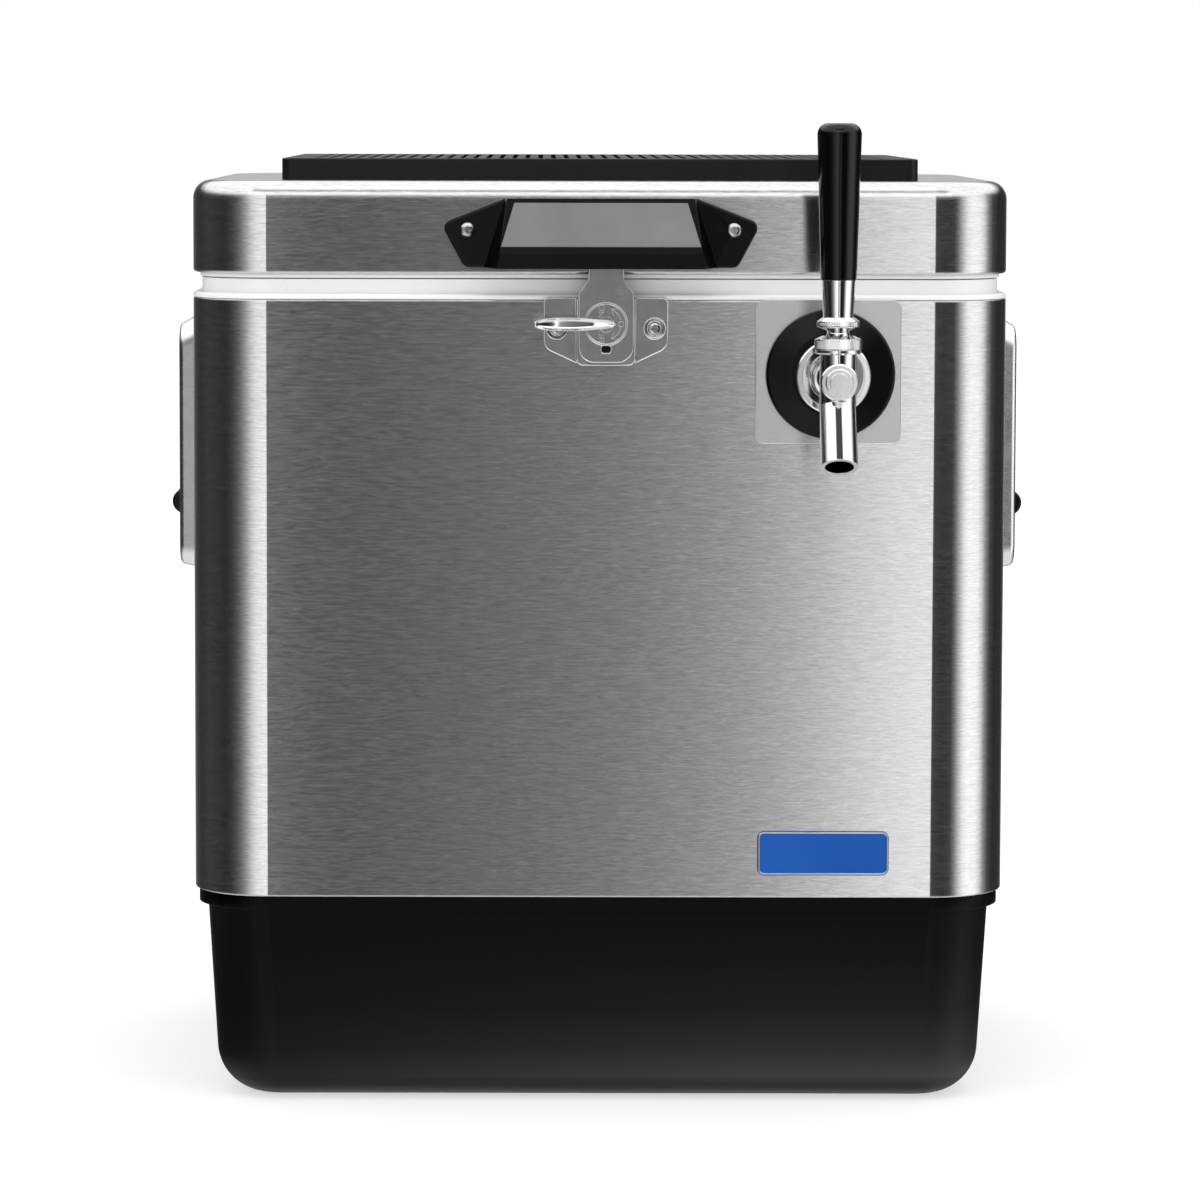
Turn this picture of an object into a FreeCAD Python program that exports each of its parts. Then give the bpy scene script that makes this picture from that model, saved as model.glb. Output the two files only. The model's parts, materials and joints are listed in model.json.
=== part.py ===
import FreeCAD, Part
import math
import os

V = FreeCAD.Vector

# Insulated beverage cooler with one tap. Millimetres, +Z up, +X to the right seen from the front,
# -Y is the front. The origin is the middle of the underside.

# Cooler body
BODY_WIDTH = 460.0
BODY_DEPTH = 330.0
BODY_CORNER = 43.5
BASE_HEIGHT = 119.5
WRAP_HEIGHT = 336.7
SHEET = 0.9
HEM_WIDTH = 6.0
HEM_HEIGHT = 3.0
HEM_ROUND = 1.2
WALL = 3.0
GAP = 0.3
OVERRUN = 5.0
RUNNING = 0.05
TOUCH = 0.001
LOOSE = 0.25

# Base tub
TUB_LIP_HEIGHT = 8.0
TUB_LIP_INSET = 2.3
TUB_TOP_INSET = 7.3
TUB_FOOT_INSET = 13.5
TUB_FOOT_CORNER = 37.0
TUB_BOTTOM_ROUND = 28.0
TUB_UPSTAND = 10.0

# Liner with its collar
FLANGE_HEIGHT = 3.0
FLANGE_ROUND = 1.6
COLLAR_INSET = 5.0
COLLAR_HEIGHT = 8.1
INSULATION = 30.0
CAVITY_CORNER = 14.0
CAVITY_FLOOR = 44.0
CAVITY_ROUND = 5.0

# Lid
SEAM_GAP = 0.6
SKIRT_INSET = 4.0
SKIRT_HEIGHT = 2.2
LID_HEIGHT = 51.8
LID_TOP_ROUND = 10.0
LID_HEM_ROUND = 2.0
PLUG_GAP = 2.0
PLUG_DEPTH = 15.0
SEAL_INSET = 12.3
SEAL_WIDTH = 7.4
SEAL_GROOVE = 1.6

# Lid grip, a polygon with a raised trapezoid block that is hollow from below
GRIP_TIP_HALF = 89.1
GRIP_TOP_HALF = 53.5
GRIP_FOOT_HALF = 76.0
GRIP_HEIGHT = 38.5
GRIP_TIP_RISE = 24.5
GRIP_FOOT_OVER_LID = 4.0
EAR_THICKNESS = 6.0
EAR_CORNER = 5.0
BLOCK_TOP_OUT = 9.5
BLOCK_BROW_OUT = 24.5
BLOCK_OUT = 26.0
BLOCK_BROW_RISE = 11.5
BLOCK_LIP_ROUND = 3.0
BLOCK_BACK_TOP_HALF = 54.5
BLOCK_BACK_FOOT_HALF = 67.0
BLOCK_FRONT_TOP_HALF = 48.0
BLOCK_FRONT_FOOT_HALF = 58.0
GRIP_WALL = 3.5
GRIP_SCREW_HALF = 74.0
GRIP_SCREW_RISE = 21.0

# Screws: pan head with a cross recess
SCREW_HEAD = 4.0
SCREW_HEAD_HEIGHT = 2.4
SCREW_SHANK = 1.8
SCREW_LENGTH = 12.0
CROSS_LENGTH = 4.4
CROSS_WIDTH = 0.9
CROSS_DEPTH = 1.3

# Latch: catch plate, hasp, thumb lever
LATCH_X = 3.0
CATCH_HALF = 34.3
CATCH_SHEET = 1.5
CATCH_TOP_OVER_WRAP = 1.0
CATCH_WING_DROP = 35.9
CATCH_WING_OUTER_DROP = 27.7
CATCH_WING_ROUND = 7.0
CATCH_TOP_ROUND = 3.0
KEEP_HALF = 16.6
KEEP_DROP = 37.7
KEEP_OUT = 6.8
KEEP_BOTTOM_ROUND = 4.0
KEEP_WINDOW_HALF = 8.0
KEEP_WINDOW_DROP = 24.0
CATCH_SCREW_HALF = 27.2
CATCH_SCREW_DROP = 17.0
CATCH_SCREW_DISH = 6.0
HASP_SHEET = 1.5
HASP_BACK_OUT = 7.6
HASP_NECK_HALF = 9.9
HASP_HALF = 15.4
HASP_PIN_RISE = 12.5
HASP_NECK_END_DROP = 2.4
HASP_SHOULDER_DROP = 10.0
HASP_DROP = 48.7
HASP_FOOT_ROUND = 9.0
HASP_SHOULDER_ROUND = 5.0
HASP_SLOT_WIDTH = 5.6
HASP_SLOT_HEIGHT = 4.5
HASP_SLOT_RISE = 5.3
HASP_PIN = 1.6
KNUCKLE = 3.1
BRACKET_SHEET = 1.4
BRACKET_RISE = 8.0
BRACKET_SIDE_GAP = 0.4
DIAL = 12.0
DIAL_DROP = 27.1
DIAL_RISE = 0.7
DIAL_BAND = 0.9
LEVER_REACH = 40.3
LEVER_TAIL = 5.8
LEVER_THICKNESS = 3.4
LEVER_HALF_HEIGHT = 3.8
LEVER_TIP_HALF_HEIGHT = 2.6
LEVER_HOLLOW = 1.2
LEVER_RIM = 1.1
LEVER_STAND_OFF = 1.3
LEVER_HUB = 4.6
LEVER_SHAFT = 3.0
CAM_THICKNESS = 2.4
CAM_RADIUS = 4.6
CAM_REACH = 6.4
CAM_HALF_HEIGHT = 2.2

# Drip tray and its lift-off grille
TRAY_WIDTH = 359.0
TRAY_DEPTH = 248.0
TRAY_HEIGHT = 12.3
TRAY_FRONT = 35.0
TRAY_CORNER = 6.0
TRAY_FLOOR = 1.6
TRAY_WALL = 3.0
TRAY_EDGE_ROUND = 0.8
GRILLE_THICKNESS = 3.0
GRILLE_LEDGE = 3.0
GRILLE_MARGIN = 12.0
SLOT_PITCH = 7.46
SLOT_WIDTH = 2.7
RIB_HEIGHT = 2.4
RIB_WIDTH = 4.0
RIB_COUNT = 3

# Tap through the front wall, measured outward from the front face
TAP_FROM_SIDE = 101.8
TAP_DROP = 41.2
PLATE_WIDTH = 81.0
PLATE_HEIGHT = 80.0
PLATE_CORNER = 5.0
PLATE_SHEET = 1.2
PLATE_SHIFT = 1.0
FLANGE_RADIUS = 36.1
FLANGE_RIM = 5.0
FLANGE_HUB = 9.0
FLANGE_HUB_RADIUS = 23.0
FLANGE_EDGE_ROUND = 2.2
SHANK_RADIUS = 14.2
SHANK_FRONT = 21.0
SHANK_BORE = 4.8
SHANK_THREAD_INSIDE = 17.0
TAIL_RADIUS = 8.0
TAIL_LENGTH = 12.0
LOCK_NUT_FLATS = 38.0
LOCK_NUT_HEIGHT = 9.0
COUPLING_RADIUS = 20.6
COUPLING_BACK = 11.0
COUPLING_FRONT = 31.0
COUPLING_LEDGE = 3.0
COUPLING_FACE = 17.2
COUPLING_DISH = 4.0
COUPLING_THREAD_GAP = 0.3

# Faucet body with its spout
FAUCET_AXIS_OUT = 70.0
FAUCET_RADIUS = 10.0
NOSE_RADIUS = 9.6
NECK_RADIUS = 11.5
NECK_TAPER = 12.0
FAUCET_TAIL_RADIUS = 13.6
FAUCET_TAIL_THICKNESS = 2.6
FAUCET_RISE = 14.9
FAUCET_BEND_DROP = 13.2
SPOUT_RADIUS = 10.0
SPOUT_BORE = 7.9
SPOUT_DEG = 30.0
SPOUT_LENGTH = 37.3
CHAMBER = 6.5
TONGUE_THROW = 8.4
SEAT_BORE = 4.2
SEAT_BACK_OUT = 39.0
SEAT_THICKNESS = 2.5
CAP_BOSS_OUT = 80.0
CAP_RADIUS = 10.2
CAP_HEIGHT = 4.0
CAP_RING_RADIUS = 7.5
CAP_RING_HEIGHT = 2.4
CAP_DISC_RADIUS = 5.2
CAP_DISC_HEIGHT = 1.6
CAP_ROUND = 0.8

# Bonnet, tap lever and handle
BONNET_RADIUS = 12.7
BONNET_HEIGHT = 10.0
BONNET_SHOULDER = 8.2
BONNET_MOUTH = 8.6
BONNET_SKIRT = 1.3
BONNET_GROOVE = 0.8
BALL_RADIUS = 6.5
BALL_RISE = 24.5
LEVER_NECK = 4.2
STUD_RADIUS = 4.7
STUD_LENGTH = 46.0
COLLAR_GAP = 2.8
LEVER_COLLAR_RADIUS = 11.45
LEVER_COLLAR_FOOT = 5.6
LEVER_COLLAR_CONE = 2.2
LEVER_COLLAR_BAND = 3.2
LEVER_COLLAR_CROWN = 2.0
LEVER_COLLAR_TOP = 8.7
FERRULE_HEIGHT = 20.4
FERRULE_FOOT = 8.25
FERRULE_TOP = 9.4
HANDLE_HEIGHT = 84.7
HANDLE_FOOT = 9.75
HANDLE_TOP = 12.25
HANDLE_DOME = 6.0
TONGUE_RADIUS = 1.3
TONGUE_BALL = 2.4
SHAFT_RADIUS = 3.0
SHAFT_BLOCK = 4.6
SHAFT_BLOCK_LENGTH = 11.0
SHAFT_FRONT_OUT = 76.5
SHAFT_SLACK = 0.15
WASHER_RADIUS = 5.7
WASHER_THICKNESS = 2.8

# Cooling coil and its tubes
TUBE_RADIUS = 3.97
TUBE_BORE_GAP = 0.1
COIL_SIDE_GAP = 14.6
COIL_END_GAP = 20.0
COIL_PITCH = 9.2
COIL_TURNS = 21
COIL_STRAIGHT = 8.0
COIL_LIFT = 2.0
TUBE_BEND = 24.0
TUBE_TURN_IN = 43.0
UNION_FLATS = 19.0
UNION_LENGTH = 16.0
UNION_OVERLAP = 4.0

# Rear inlet bulkhead and drain
INLET_FROM_TAP = 68.0
INLET_FLANGE = 19.0
INLET_FLANGE_THICKNESS = 4.0
INLET_STUB_RADIUS = 11.1
INLET_STUB_LENGTH = 17.0
DRAIN_FROM_SIDE = 100.0
DRAIN_RISE = 19.0
DRAIN_BOSS_RADIUS = 19.0
DRAIN_TUBE = 7.5
DRAIN_BORE = 5.5
DRAIN_FLANGE = 16.0
DRAIN_FLANGE_THICKNESS = 3.0
DRAIN_REACH = 15.0
DRAIN_NUT_FLATS = 24.0
DRAIN_NUT_HEIGHT = 6.0
DRAIN_CAP_RADIUS = 13.0
DRAIN_CAP_HEIGHT = 16.0

# Hinges
HINGE_FROM_SIDE = 100.0
HINGE_LENGTH = 60.0
HINGE_SHEET = 2.0
HINGE_OUT = 6.5
HINGE_KNUCKLE = 5.0
HINGE_PIN = 2.5
HINGE_KNUCKLE_GAP = 0.5
HINGE_BODY_DROP = 30.0
HINGE_LEAF_START = 12.0
HINGE_LID_RISE = 30.0
HINGE_UNDER_LID = 3.0
HINGE_SCREW_SPACING = 34.0
LEAF_CORNER = 4.0

# Side carrying handles
PAN_WIDTH = 110.0
PAN_HEIGHT = 151.0
PAN_CENTRE_DROP = 87.5
PAN_OUT = 14.0
PAN_CORNER = 16.0
PAN_DRAFT = 4.0
PAN_DRAFT_TOP = 8.0
PAN_DRAFT_FOOT = 2.5
PAN_RIM = 10.0
PAN_SHEET = 1.4
PAN_EDGE_ROUND = 3.5
POCKET_DRAFT = 2.0
POCKET_CORNER = 10.0
BAIL_PIVOT_RISE = 14.8
BAIL_PIVOT_OUT = 10.1
BAIL_ARM = 52.0
BAIL_WIRE = 2.5
BAIL_WIRE_BEND = 5.0
BAIL_SIDE_GAP = 4.5
BAIL_END = 3.0
BAIL_GRIP_RADIUS = 7.4
BAIL_GRIP_OUT = 2.4
BAIL_GRIP_GAP = 0.8
BAIL_GRIP_ROUND = 2.0
RIVET_HEAD = 3.5
RIVET_HEAD_HEIGHT = 1.4
RIVET_SHANK = 1.7
RIVET_INSET = 14.0

# Badge plate
BADGE_WIDTH = 74.0
BADGE_HEIGHT = 25.0
BADGE_THICKNESS = 0.8
BADGE_CORNER = 4.0
BADGE_FROM_SIDE = 104.0
BADGE_FROM_BASE = 25.5

# Levels and places worked out from the sizes above
FRONT = -BODY_DEPTH / 2
BACK = BODY_DEPTH / 2
SIDE = BODY_WIDTH / 2
WRAP_TOP = BASE_HEIGHT + WRAP_HEIGHT
COLLAR_FOOT = WRAP_TOP + FLANGE_HEIGHT
COLLAR_TOP = COLLAR_FOOT + COLLAR_HEIGHT
LID_FOOT = COLLAR_TOP + SEAM_GAP
PAN_FOOT = LID_FOOT + SKIRT_HEIGHT
LID_TOP = PAN_FOOT + LID_HEIGHT
TRAY_TOP = LID_TOP + TRAY_HEIGHT
FOAM_INSET = HEM_WIDTH + WALL + GAP + GAP
CAVITY_INSET = INSULATION + WALL
PLUG_INSET = CAVITY_INSET + PLUG_GAP
GRIP_FOOT = PAN_FOOT + GRIP_FOOT_OVER_LID
HASP_PIN_OUT = HASP_BACK_OUT + HASP_SHEET - KNUCKLE
CATCH_TOP = WRAP_TOP + CATCH_TOP_OVER_WRAP
DIAL_Z = PAN_FOOT - DIAL_DROP
TAP_X = SIDE - TAP_FROM_SIDE
TAP_Z = WRAP_TOP - TAP_DROP
INLET_X = TAP_X - INLET_FROM_TAP
BONNET_FOOT = TAP_Z + FAUCET_RISE
BALL_Z = TAP_Z + BALL_RISE
LEVER_COLLAR_Z = BALL_Z + COLLAR_GAP
FERRULE_Z = LEVER_COLLAR_Z + LEVER_COLLAR_CONE + LEVER_COLLAR_BAND + LEVER_COLLAR_CROWN
HANDLE_Z = FERRULE_Z + FERRULE_HEIGHT
FAUCET_Y = FRONT - FAUCET_AXIS_OUT
ROOM_ACROSS = INLET_X - TUBE_RADIUS + SIDE - CAVITY_INSET
ROOM_ALONG = BODY_DEPTH - 2 * CAVITY_INSET
COIL_RADIUS = min(ROOM_ACROSS / 2 - COIL_SIDE_GAP, ROOM_ALONG / 2 - COIL_END_GAP) - TUBE_RADIUS
COIL_X = CAVITY_INSET - SIDE + COIL_SIDE_GAP + TUBE_RADIUS + COIL_RADIUS
COIL_Z = CAVITY_FLOOR + TUBE_RADIUS + COIL_LIFT
HINGE_Y = BACK + HINGE_OUT
HINGE_Z = LID_FOOT - HINGE_UNDER_LID
HINGE_SPACING = BODY_WIDTH - 2 * HINGE_FROM_SIDE
DRAIN_X = DRAIN_FROM_SIDE - SIDE
DRAIN_Z = CAVITY_FLOOR + DRAIN_RISE
PAN_Z = WRAP_TOP - PAN_CENTRE_DROP
PAN_FACE_Y = (PAN_DRAFT_FOOT - PAN_DRAFT_TOP) / 2
POCKET_WIDTH = PAN_WIDTH - 2 * (PAN_DRAFT + PAN_RIM)
POCKET_HEIGHT = PAN_HEIGHT - PAN_DRAFT_TOP - PAN_DRAFT_FOOT - 2 * PAN_RIM

X_AXIS = V(1, 0, 0)
Y_AXIS = V(0, 1, 0)
Z_AXIS = V(0, 0, 1)


# Drawing helpers

def rounded_outline(corners, z=0.0):
    """A closed wire through corners given as (x, y, radius), on a level plane."""
    edges = []
    first = None
    last = None
    count = len(corners)
    for i in range(count):
        x, y, radius = corners[i]
        here = V(x, y, z)
        back = V(corners[i - 1][0], corners[i - 1][1], z) - here
        ahead = V(corners[(i + 1) % count][0], corners[(i + 1) % count][1], z) - here
        back.normalize()
        ahead.normalize()
        enter = here
        leave = here
        arc = None
        if radius > 0:
            half = back.getAngle(ahead) / 2
            inward = back + ahead
            inward.normalize()
            enter = here + back * (radius / math.tan(half))
            leave = here + ahead * (radius / math.tan(half))
            middle = here + inward * (radius / math.sin(half) - radius)
            arc = Part.Arc(enter, middle, leave).toShape()
        if last is not None and last.distanceToPoint(enter) > TOUCH:
            edges.append(Part.LineSegment(last, enter).toShape())
        if first is None:
            first = enter
        if arc is not None:
            edges.append(arc)
        last = leave
    if last.distanceToPoint(first) > TOUCH:
        edges.append(Part.LineSegment(last, first).toShape())
    return Part.Wire(edges)


def rectangle_corners(width, height, radius, x=0.0, y=0.0):
    return [
        (x - width / 2, y - height / 2, radius),
        (x + width / 2, y - height / 2, radius),
        (x + width / 2, y + height / 2, radius),
        (x - width / 2, y + height / 2, radius),
    ]


def prism(wire, height):
    return Part.Face(wire).extrude(Z_AXIS * height)


def plan_wire(inset, corner, z):
    """The cooler's outline seen from above, drawn in by inset."""
    return rounded_outline(
        rectangle_corners(BODY_WIDTH - 2 * inset, BODY_DEPTH - 2 * inset, corner), z
    )


def plan_prism(inset, low, high, corner=None):
    radius = BODY_CORNER - inset if corner is None else corner
    return prism(plan_wire(inset, radius, low), high - low)


def plan_ring(inset_out, inset_in, low, high):
    outer = plan_prism(inset_out, low, high)
    return outer.cut(plan_prism(inset_in, low - OVERRUN, high + OVERRUN))


def turned(outline):
    """A solid of revolution about Z, from (radius, height) points."""
    points = [V(radius, 0, height) for radius, height in outline]
    face = Part.Face(Part.makePolygon(points + points[:1]))
    return face.revolve(V(0, 0, 0), Z_AXIS, 360)


def rod(radius, start, direction, length):
    return Part.makeCylinder(radius, length, start, direction)


def block(x0, x1, y0, y1, z0, z1):
    return Part.makeBox(x1 - x0, y1 - y0, z1 - z0, V(x0, y0, z0))


def hexagon(flats, low, high):
    corner = flats / math.sqrt(3)
    points = [V(corner * math.cos(k * math.pi / 3), corner * math.sin(k * math.pi / 3), low)
              for k in range(6)]
    return Part.Face(Part.makePolygon(points + points[:1])).extrude(Z_AXIS * (high - low))


def level_edges(shape, z):
    """The edges of a shape that lie at one height."""
    return [e for e in shape.Edges
            if abs(e.BoundBox.ZMin - z) < RUNNING and abs(e.BoundBox.ZMax - z) < RUNNING]


def round_level(shape, z, radius):
    return shape.makeFillet(radius, level_edges(shape, z))


def place(shape, origin, right, up):
    """Moves a shape drawn on the XY plane: its X goes along right and its Y along up."""
    out = right.cross(up)
    matrix = FreeCAD.Matrix(
        right.x, up.x, out.x, origin.x,
        right.y, up.y, out.y, origin.y,
        right.z, up.z, out.z, origin.z,
        0, 0, 0, 1,
    )
    copy = shape.copy()
    copy.Placement = FreeCAD.Placement(matrix).multiply(copy.Placement)
    return copy


def on_front(shape, x, z):
    return place(shape, V(x, FRONT, z), X_AXIS, Z_AXIS)


def on_back(shape, x, z):
    return place(shape, V(x, BACK, z), -X_AXIS, Z_AXIS)


def on_side(shape, side, z):
    """On the right side where side is 1, on the left where it is -1."""
    return place(shape, V(side * SIDE, 0, z), Y_AXIS * side, Z_AXIS)


def screw():
    """A pan head screw with its head's seat at zero height."""
    head = turned([
        (0, -SCREW_LENGTH),
        (SCREW_SHANK, -SCREW_LENGTH),
        (SCREW_SHANK, 0),
        (SCREW_HEAD, 0),
        (SCREW_HEAD, SCREW_HEAD_HEIGHT * 0.45),
        (SCREW_HEAD * 0.8, SCREW_HEAD_HEIGHT * 0.85),
        (SCREW_HEAD * 0.5, SCREW_HEAD_HEIGHT),
        (0, SCREW_HEAD_HEIGHT),
    ])
    floor = SCREW_HEAD_HEIGHT - CROSS_DEPTH
    for width, height in ((CROSS_LENGTH, CROSS_WIDTH), (CROSS_WIDTH, CROSS_LENGTH)):
        bar = block(-width / 2, width / 2, -height / 2, height / 2, floor, SCREW_HEAD_HEIGHT + OVERRUN)
        head = head.cut(bar)
    return head


def moved(shape, x=0.0, y=0.0, z=0.0):
    copy = shape.copy()
    copy.translate(V(x, y, z))
    return copy


# Cooler body

def tub_loft(inset_shift, corner_shift, low, high):
    """The base tub's outer form, or the space inside it where it is drawn in by a wall."""
    slope_share = low / (BASE_HEIGHT - TUB_LIP_HEIGHT)
    foot = TUB_FOOT_INSET + (TUB_TOP_INSET - TUB_FOOT_INSET) * slope_share + inset_shift
    wires = [
        plan_wire(foot, TUB_FOOT_CORNER - corner_shift, low),
        plan_wire(TUB_TOP_INSET + inset_shift, BODY_CORNER - TUB_TOP_INSET - corner_shift, high),
    ]
    solid = Part.makeLoft(wires, True, True)
    return round_level(solid, low, TUB_BOTTOM_ROUND - corner_shift)


def make_base_tub():
    lip_foot = BASE_HEIGHT - TUB_LIP_HEIGHT
    tub = tub_loft(0, 0, 0, lip_foot)
    tub = tub.fuse(plan_prism(TUB_LIP_INSET, lip_foot, BASE_HEIGHT))
    upstand_inset = HEM_WIDTH + GAP
    tub = tub.fuse(plan_prism(upstand_inset, BASE_HEIGHT, BASE_HEIGHT + TUB_UPSTAND))
    boss_reach = DRAIN_BOSS_RADIUS
    boss_back = BACK - TUB_TOP_INSET - boss_reach
    boss = rod(DRAIN_BOSS_RADIUS, V(DRAIN_X, boss_back, DRAIN_Z), Y_AXIS, boss_reach)
    tub = tub.fuse(boss)
    tub = tub.cut(tub_loft(WALL, WALL, WALL, lip_foot))
    tub = tub.cut(plan_prism(TUB_TOP_INSET + WALL, lip_foot, BASE_HEIGHT))
    tub = tub.cut(plan_prism(upstand_inset + WALL, BASE_HEIGHT, BASE_HEIGHT + TUB_UPSTAND + OVERRUN))
    hole = rod(DRAIN_TUBE + LOOSE, V(DRAIN_X, 0, DRAIN_Z), Y_AXIS, BODY_DEPTH)
    return tub.cut(hole).removeSplitter()


def wall_holes():
    """The screws, rivets and tubes that pass through the wrap and the foam, each with room round it."""
    holes = [
        on_front(rod(SHANK_RADIUS + LOOSE, V(0, 0, -BODY_DEPTH / 3), Z_AXIS, BODY_DEPTH / 2), TAP_X, TAP_Z),
        on_back(rod(SHANK_RADIUS + LOOSE, V(0, 0, -BODY_DEPTH / 3), Z_AXIS, BODY_DEPTH / 2), INLET_X, TAP_Z),
    ]
    small = rod(SCREW_SHANK + LOOSE, V(0, 0, -SCREW_LENGTH - OVERRUN), Z_AXIS, SCREW_LENGTH + 2 * OVERRUN)
    for hand in (-1, 1):
        x = LATCH_X + hand * CATCH_SCREW_HALF
        holes.append(on_front(small, x, CATCH_TOP - CATCH_SCREW_DROP))
    for x, z in hinge_screw_places(body_leaf_middle()):
        holes.append(on_back(small, x, z))
    for side in (-1, 1):
        for y, z in rivet_places():
            holes.append(on_side(moved(small, x=y), side, z))
    return holes


def make_body_wrap():
    wrap = plan_prism(0, BASE_HEIGHT, WRAP_TOP)
    wrap = round_level(wrap, BASE_HEIGHT, HEM_ROUND)
    wrap = round_level(wrap, WRAP_TOP, HEM_ROUND)
    wrap = wrap.cut(plan_prism(HEM_WIDTH, BASE_HEIGHT - OVERRUN, WRAP_TOP + OVERRUN))
    wrap = wrap.cut(plan_prism(SHEET, BASE_HEIGHT + HEM_HEIGHT, WRAP_TOP - HEM_HEIGHT))
    for hole in wall_holes():
        wrap = wrap.cut(hole)
    return wrap


def make_body_insulation():
    lip_foot = BASE_HEIGHT - TUB_LIP_HEIGHT
    inner = WALL + GAP
    foam = tub_loft(inner, inner, inner, lip_foot)
    foam = foam.fuse(plan_prism(TUB_TOP_INSET + inner, lip_foot, BASE_HEIGHT))
    foam = foam.fuse(plan_prism(FOAM_INSET, BASE_HEIGHT, COLLAR_TOP - WALL - GAP))
    foam = foam.cut(liner_tub(INSULATION - GAP, GAP, COLLAR_TOP))
    for hole in wall_holes():
        foam = foam.cut(hole)
    drain = rod(DRAIN_TUBE + LOOSE, V(DRAIN_X, 0, DRAIN_Z), Y_AXIS, BODY_DEPTH)
    return foam.cut(drain).removeSplitter()


def liner_tub(inset, spread, high):
    """The liner's outer tub, grown by spread."""
    low = CAVITY_FLOOR - WALL - spread
    tub = plan_prism(inset, low, high, CAVITY_CORNER + WALL + spread)
    return round_level(tub, low, CAVITY_ROUND + WALL + spread)


def make_liner():
    liner = plan_prism(COLLAR_INSET, WRAP_TOP, COLLAR_TOP)
    flange = plan_prism(0, WRAP_TOP, COLLAR_FOOT)
    flange = round_level(flange, COLLAR_FOOT, FLANGE_ROUND)
    liner = liner.fuse(flange)
    hollow = plan_prism(COLLAR_INSET + WALL, WRAP_TOP, COLLAR_TOP - WALL)
    liner = liner.cut(hollow)
    liner = liner.fuse(liner_tub(INSULATION, 0, COLLAR_TOP))
    cavity = plan_prism(CAVITY_INSET, CAVITY_FLOOR, COLLAR_TOP + OVERRUN, CAVITY_CORNER)
    cavity = round_level(cavity, CAVITY_FLOOR, CAVITY_ROUND)
    liner = liner.cut(cavity)
    liner = liner.cut(rod(SHANK_RADIUS + LOOSE, V(TAP_X, -BODY_DEPTH, TAP_Z), Y_AXIS, BODY_DEPTH))
    liner = liner.cut(rod(SHANK_RADIUS + LOOSE, V(INLET_X, 0, TAP_Z), Y_AXIS, BODY_DEPTH))
    drain_hole = rod(DRAIN_TUBE + LOOSE, V(DRAIN_X, 0, DRAIN_Z), Y_AXIS, BODY_DEPTH)
    return liner.cut(drain_hole).removeSplitter()


def make_badge_plate():
    outline = rounded_outline(rectangle_corners(BADGE_WIDTH, BADGE_HEIGHT, BADGE_CORNER))
    plate = prism(outline, BADGE_THICKNESS)
    return on_front(plate, SIDE - BADGE_FROM_SIDE, BASE_HEIGHT + BADGE_FROM_BASE)


# Drain at the rear

def make_drain_spout():
    seat = -TUB_TOP_INSET
    inner = -CAVITY_INSET - DRAIN_NUT_HEIGHT
    spout = turned([
        (DRAIN_BORE, inner),
        (DRAIN_TUBE, inner),
        (DRAIN_TUBE, seat),
        (DRAIN_FLANGE, seat),
        (DRAIN_FLANGE, seat + DRAIN_FLANGE_THICKNESS),
        (DRAIN_TUBE, seat + DRAIN_FLANGE_THICKNESS),
        (DRAIN_TUBE, seat + DRAIN_FLANGE_THICKNESS + DRAIN_REACH),
        (DRAIN_BORE, seat + DRAIN_FLANGE_THICKNESS + DRAIN_REACH),
    ])
    return on_back(spout, DRAIN_X, DRAIN_Z)


def make_drain_nut():
    nut = hexagon(DRAIN_NUT_FLATS, -CAVITY_INSET - DRAIN_NUT_HEIGHT, -CAVITY_INSET)
    hole = rod(DRAIN_TUBE + RUNNING, V(0, 0, -BODY_DEPTH), Z_AXIS, BODY_DEPTH)
    return on_back(nut.cut(hole), DRAIN_X, DRAIN_Z)


def make_drain_cap():
    foot = -TUB_TOP_INSET + DRAIN_FLANGE_THICKNESS + GAP
    top = foot + DRAIN_CAP_HEIGHT + WALL
    cap = turned([
        (DRAIN_TUBE + LOOSE, foot),
        (DRAIN_CAP_RADIUS, foot),
        (DRAIN_CAP_RADIUS, top - WALL / 2),
        (DRAIN_CAP_RADIUS - WALL / 2, top),
        (0, top),
        (0, foot + DRAIN_CAP_HEIGHT),
        (DRAIN_TUBE + LOOSE, foot + DRAIN_CAP_HEIGHT),
    ])
    return on_back(cap, DRAIN_X, DRAIN_Z)


# Side carrying handles

def pan_frustum(spread, low, high):
    """The pan's outer form, drawn in by spread. Its top slants more than its foot."""
    width = PAN_WIDTH - 2 * spread
    height = PAN_HEIGHT - 2 * spread
    corner = PAN_CORNER - spread
    face_height = height - PAN_DRAFT_TOP - PAN_DRAFT_FOOT
    foot = rectangle_corners(width, height, corner)
    face_width = width - 2 * PAN_DRAFT
    face = rectangle_corners(face_width, face_height, corner - PAN_DRAFT / 2, 0, PAN_FACE_Y)
    return Part.makeLoft([rounded_outline(foot, low), rounded_outline(face, high)], True, True)


def pocket(spread, depth_left, top):
    """The pocket pressed into the pan, grown by spread, down to depth_left above the wall."""
    width = POCKET_WIDTH + 2 * spread
    height = POCKET_HEIGHT + 2 * spread
    corner = POCKET_CORNER + spread
    narrow = 2 * POCKET_DRAFT
    bottom = rectangle_corners(width - narrow, height - narrow, corner, 0, PAN_FACE_Y)
    mouth = rectangle_corners(width, height, corner, 0, PAN_FACE_Y)
    return Part.makeLoft([rounded_outline(bottom, depth_left), rounded_outline(mouth, top)], True, True)


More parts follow.
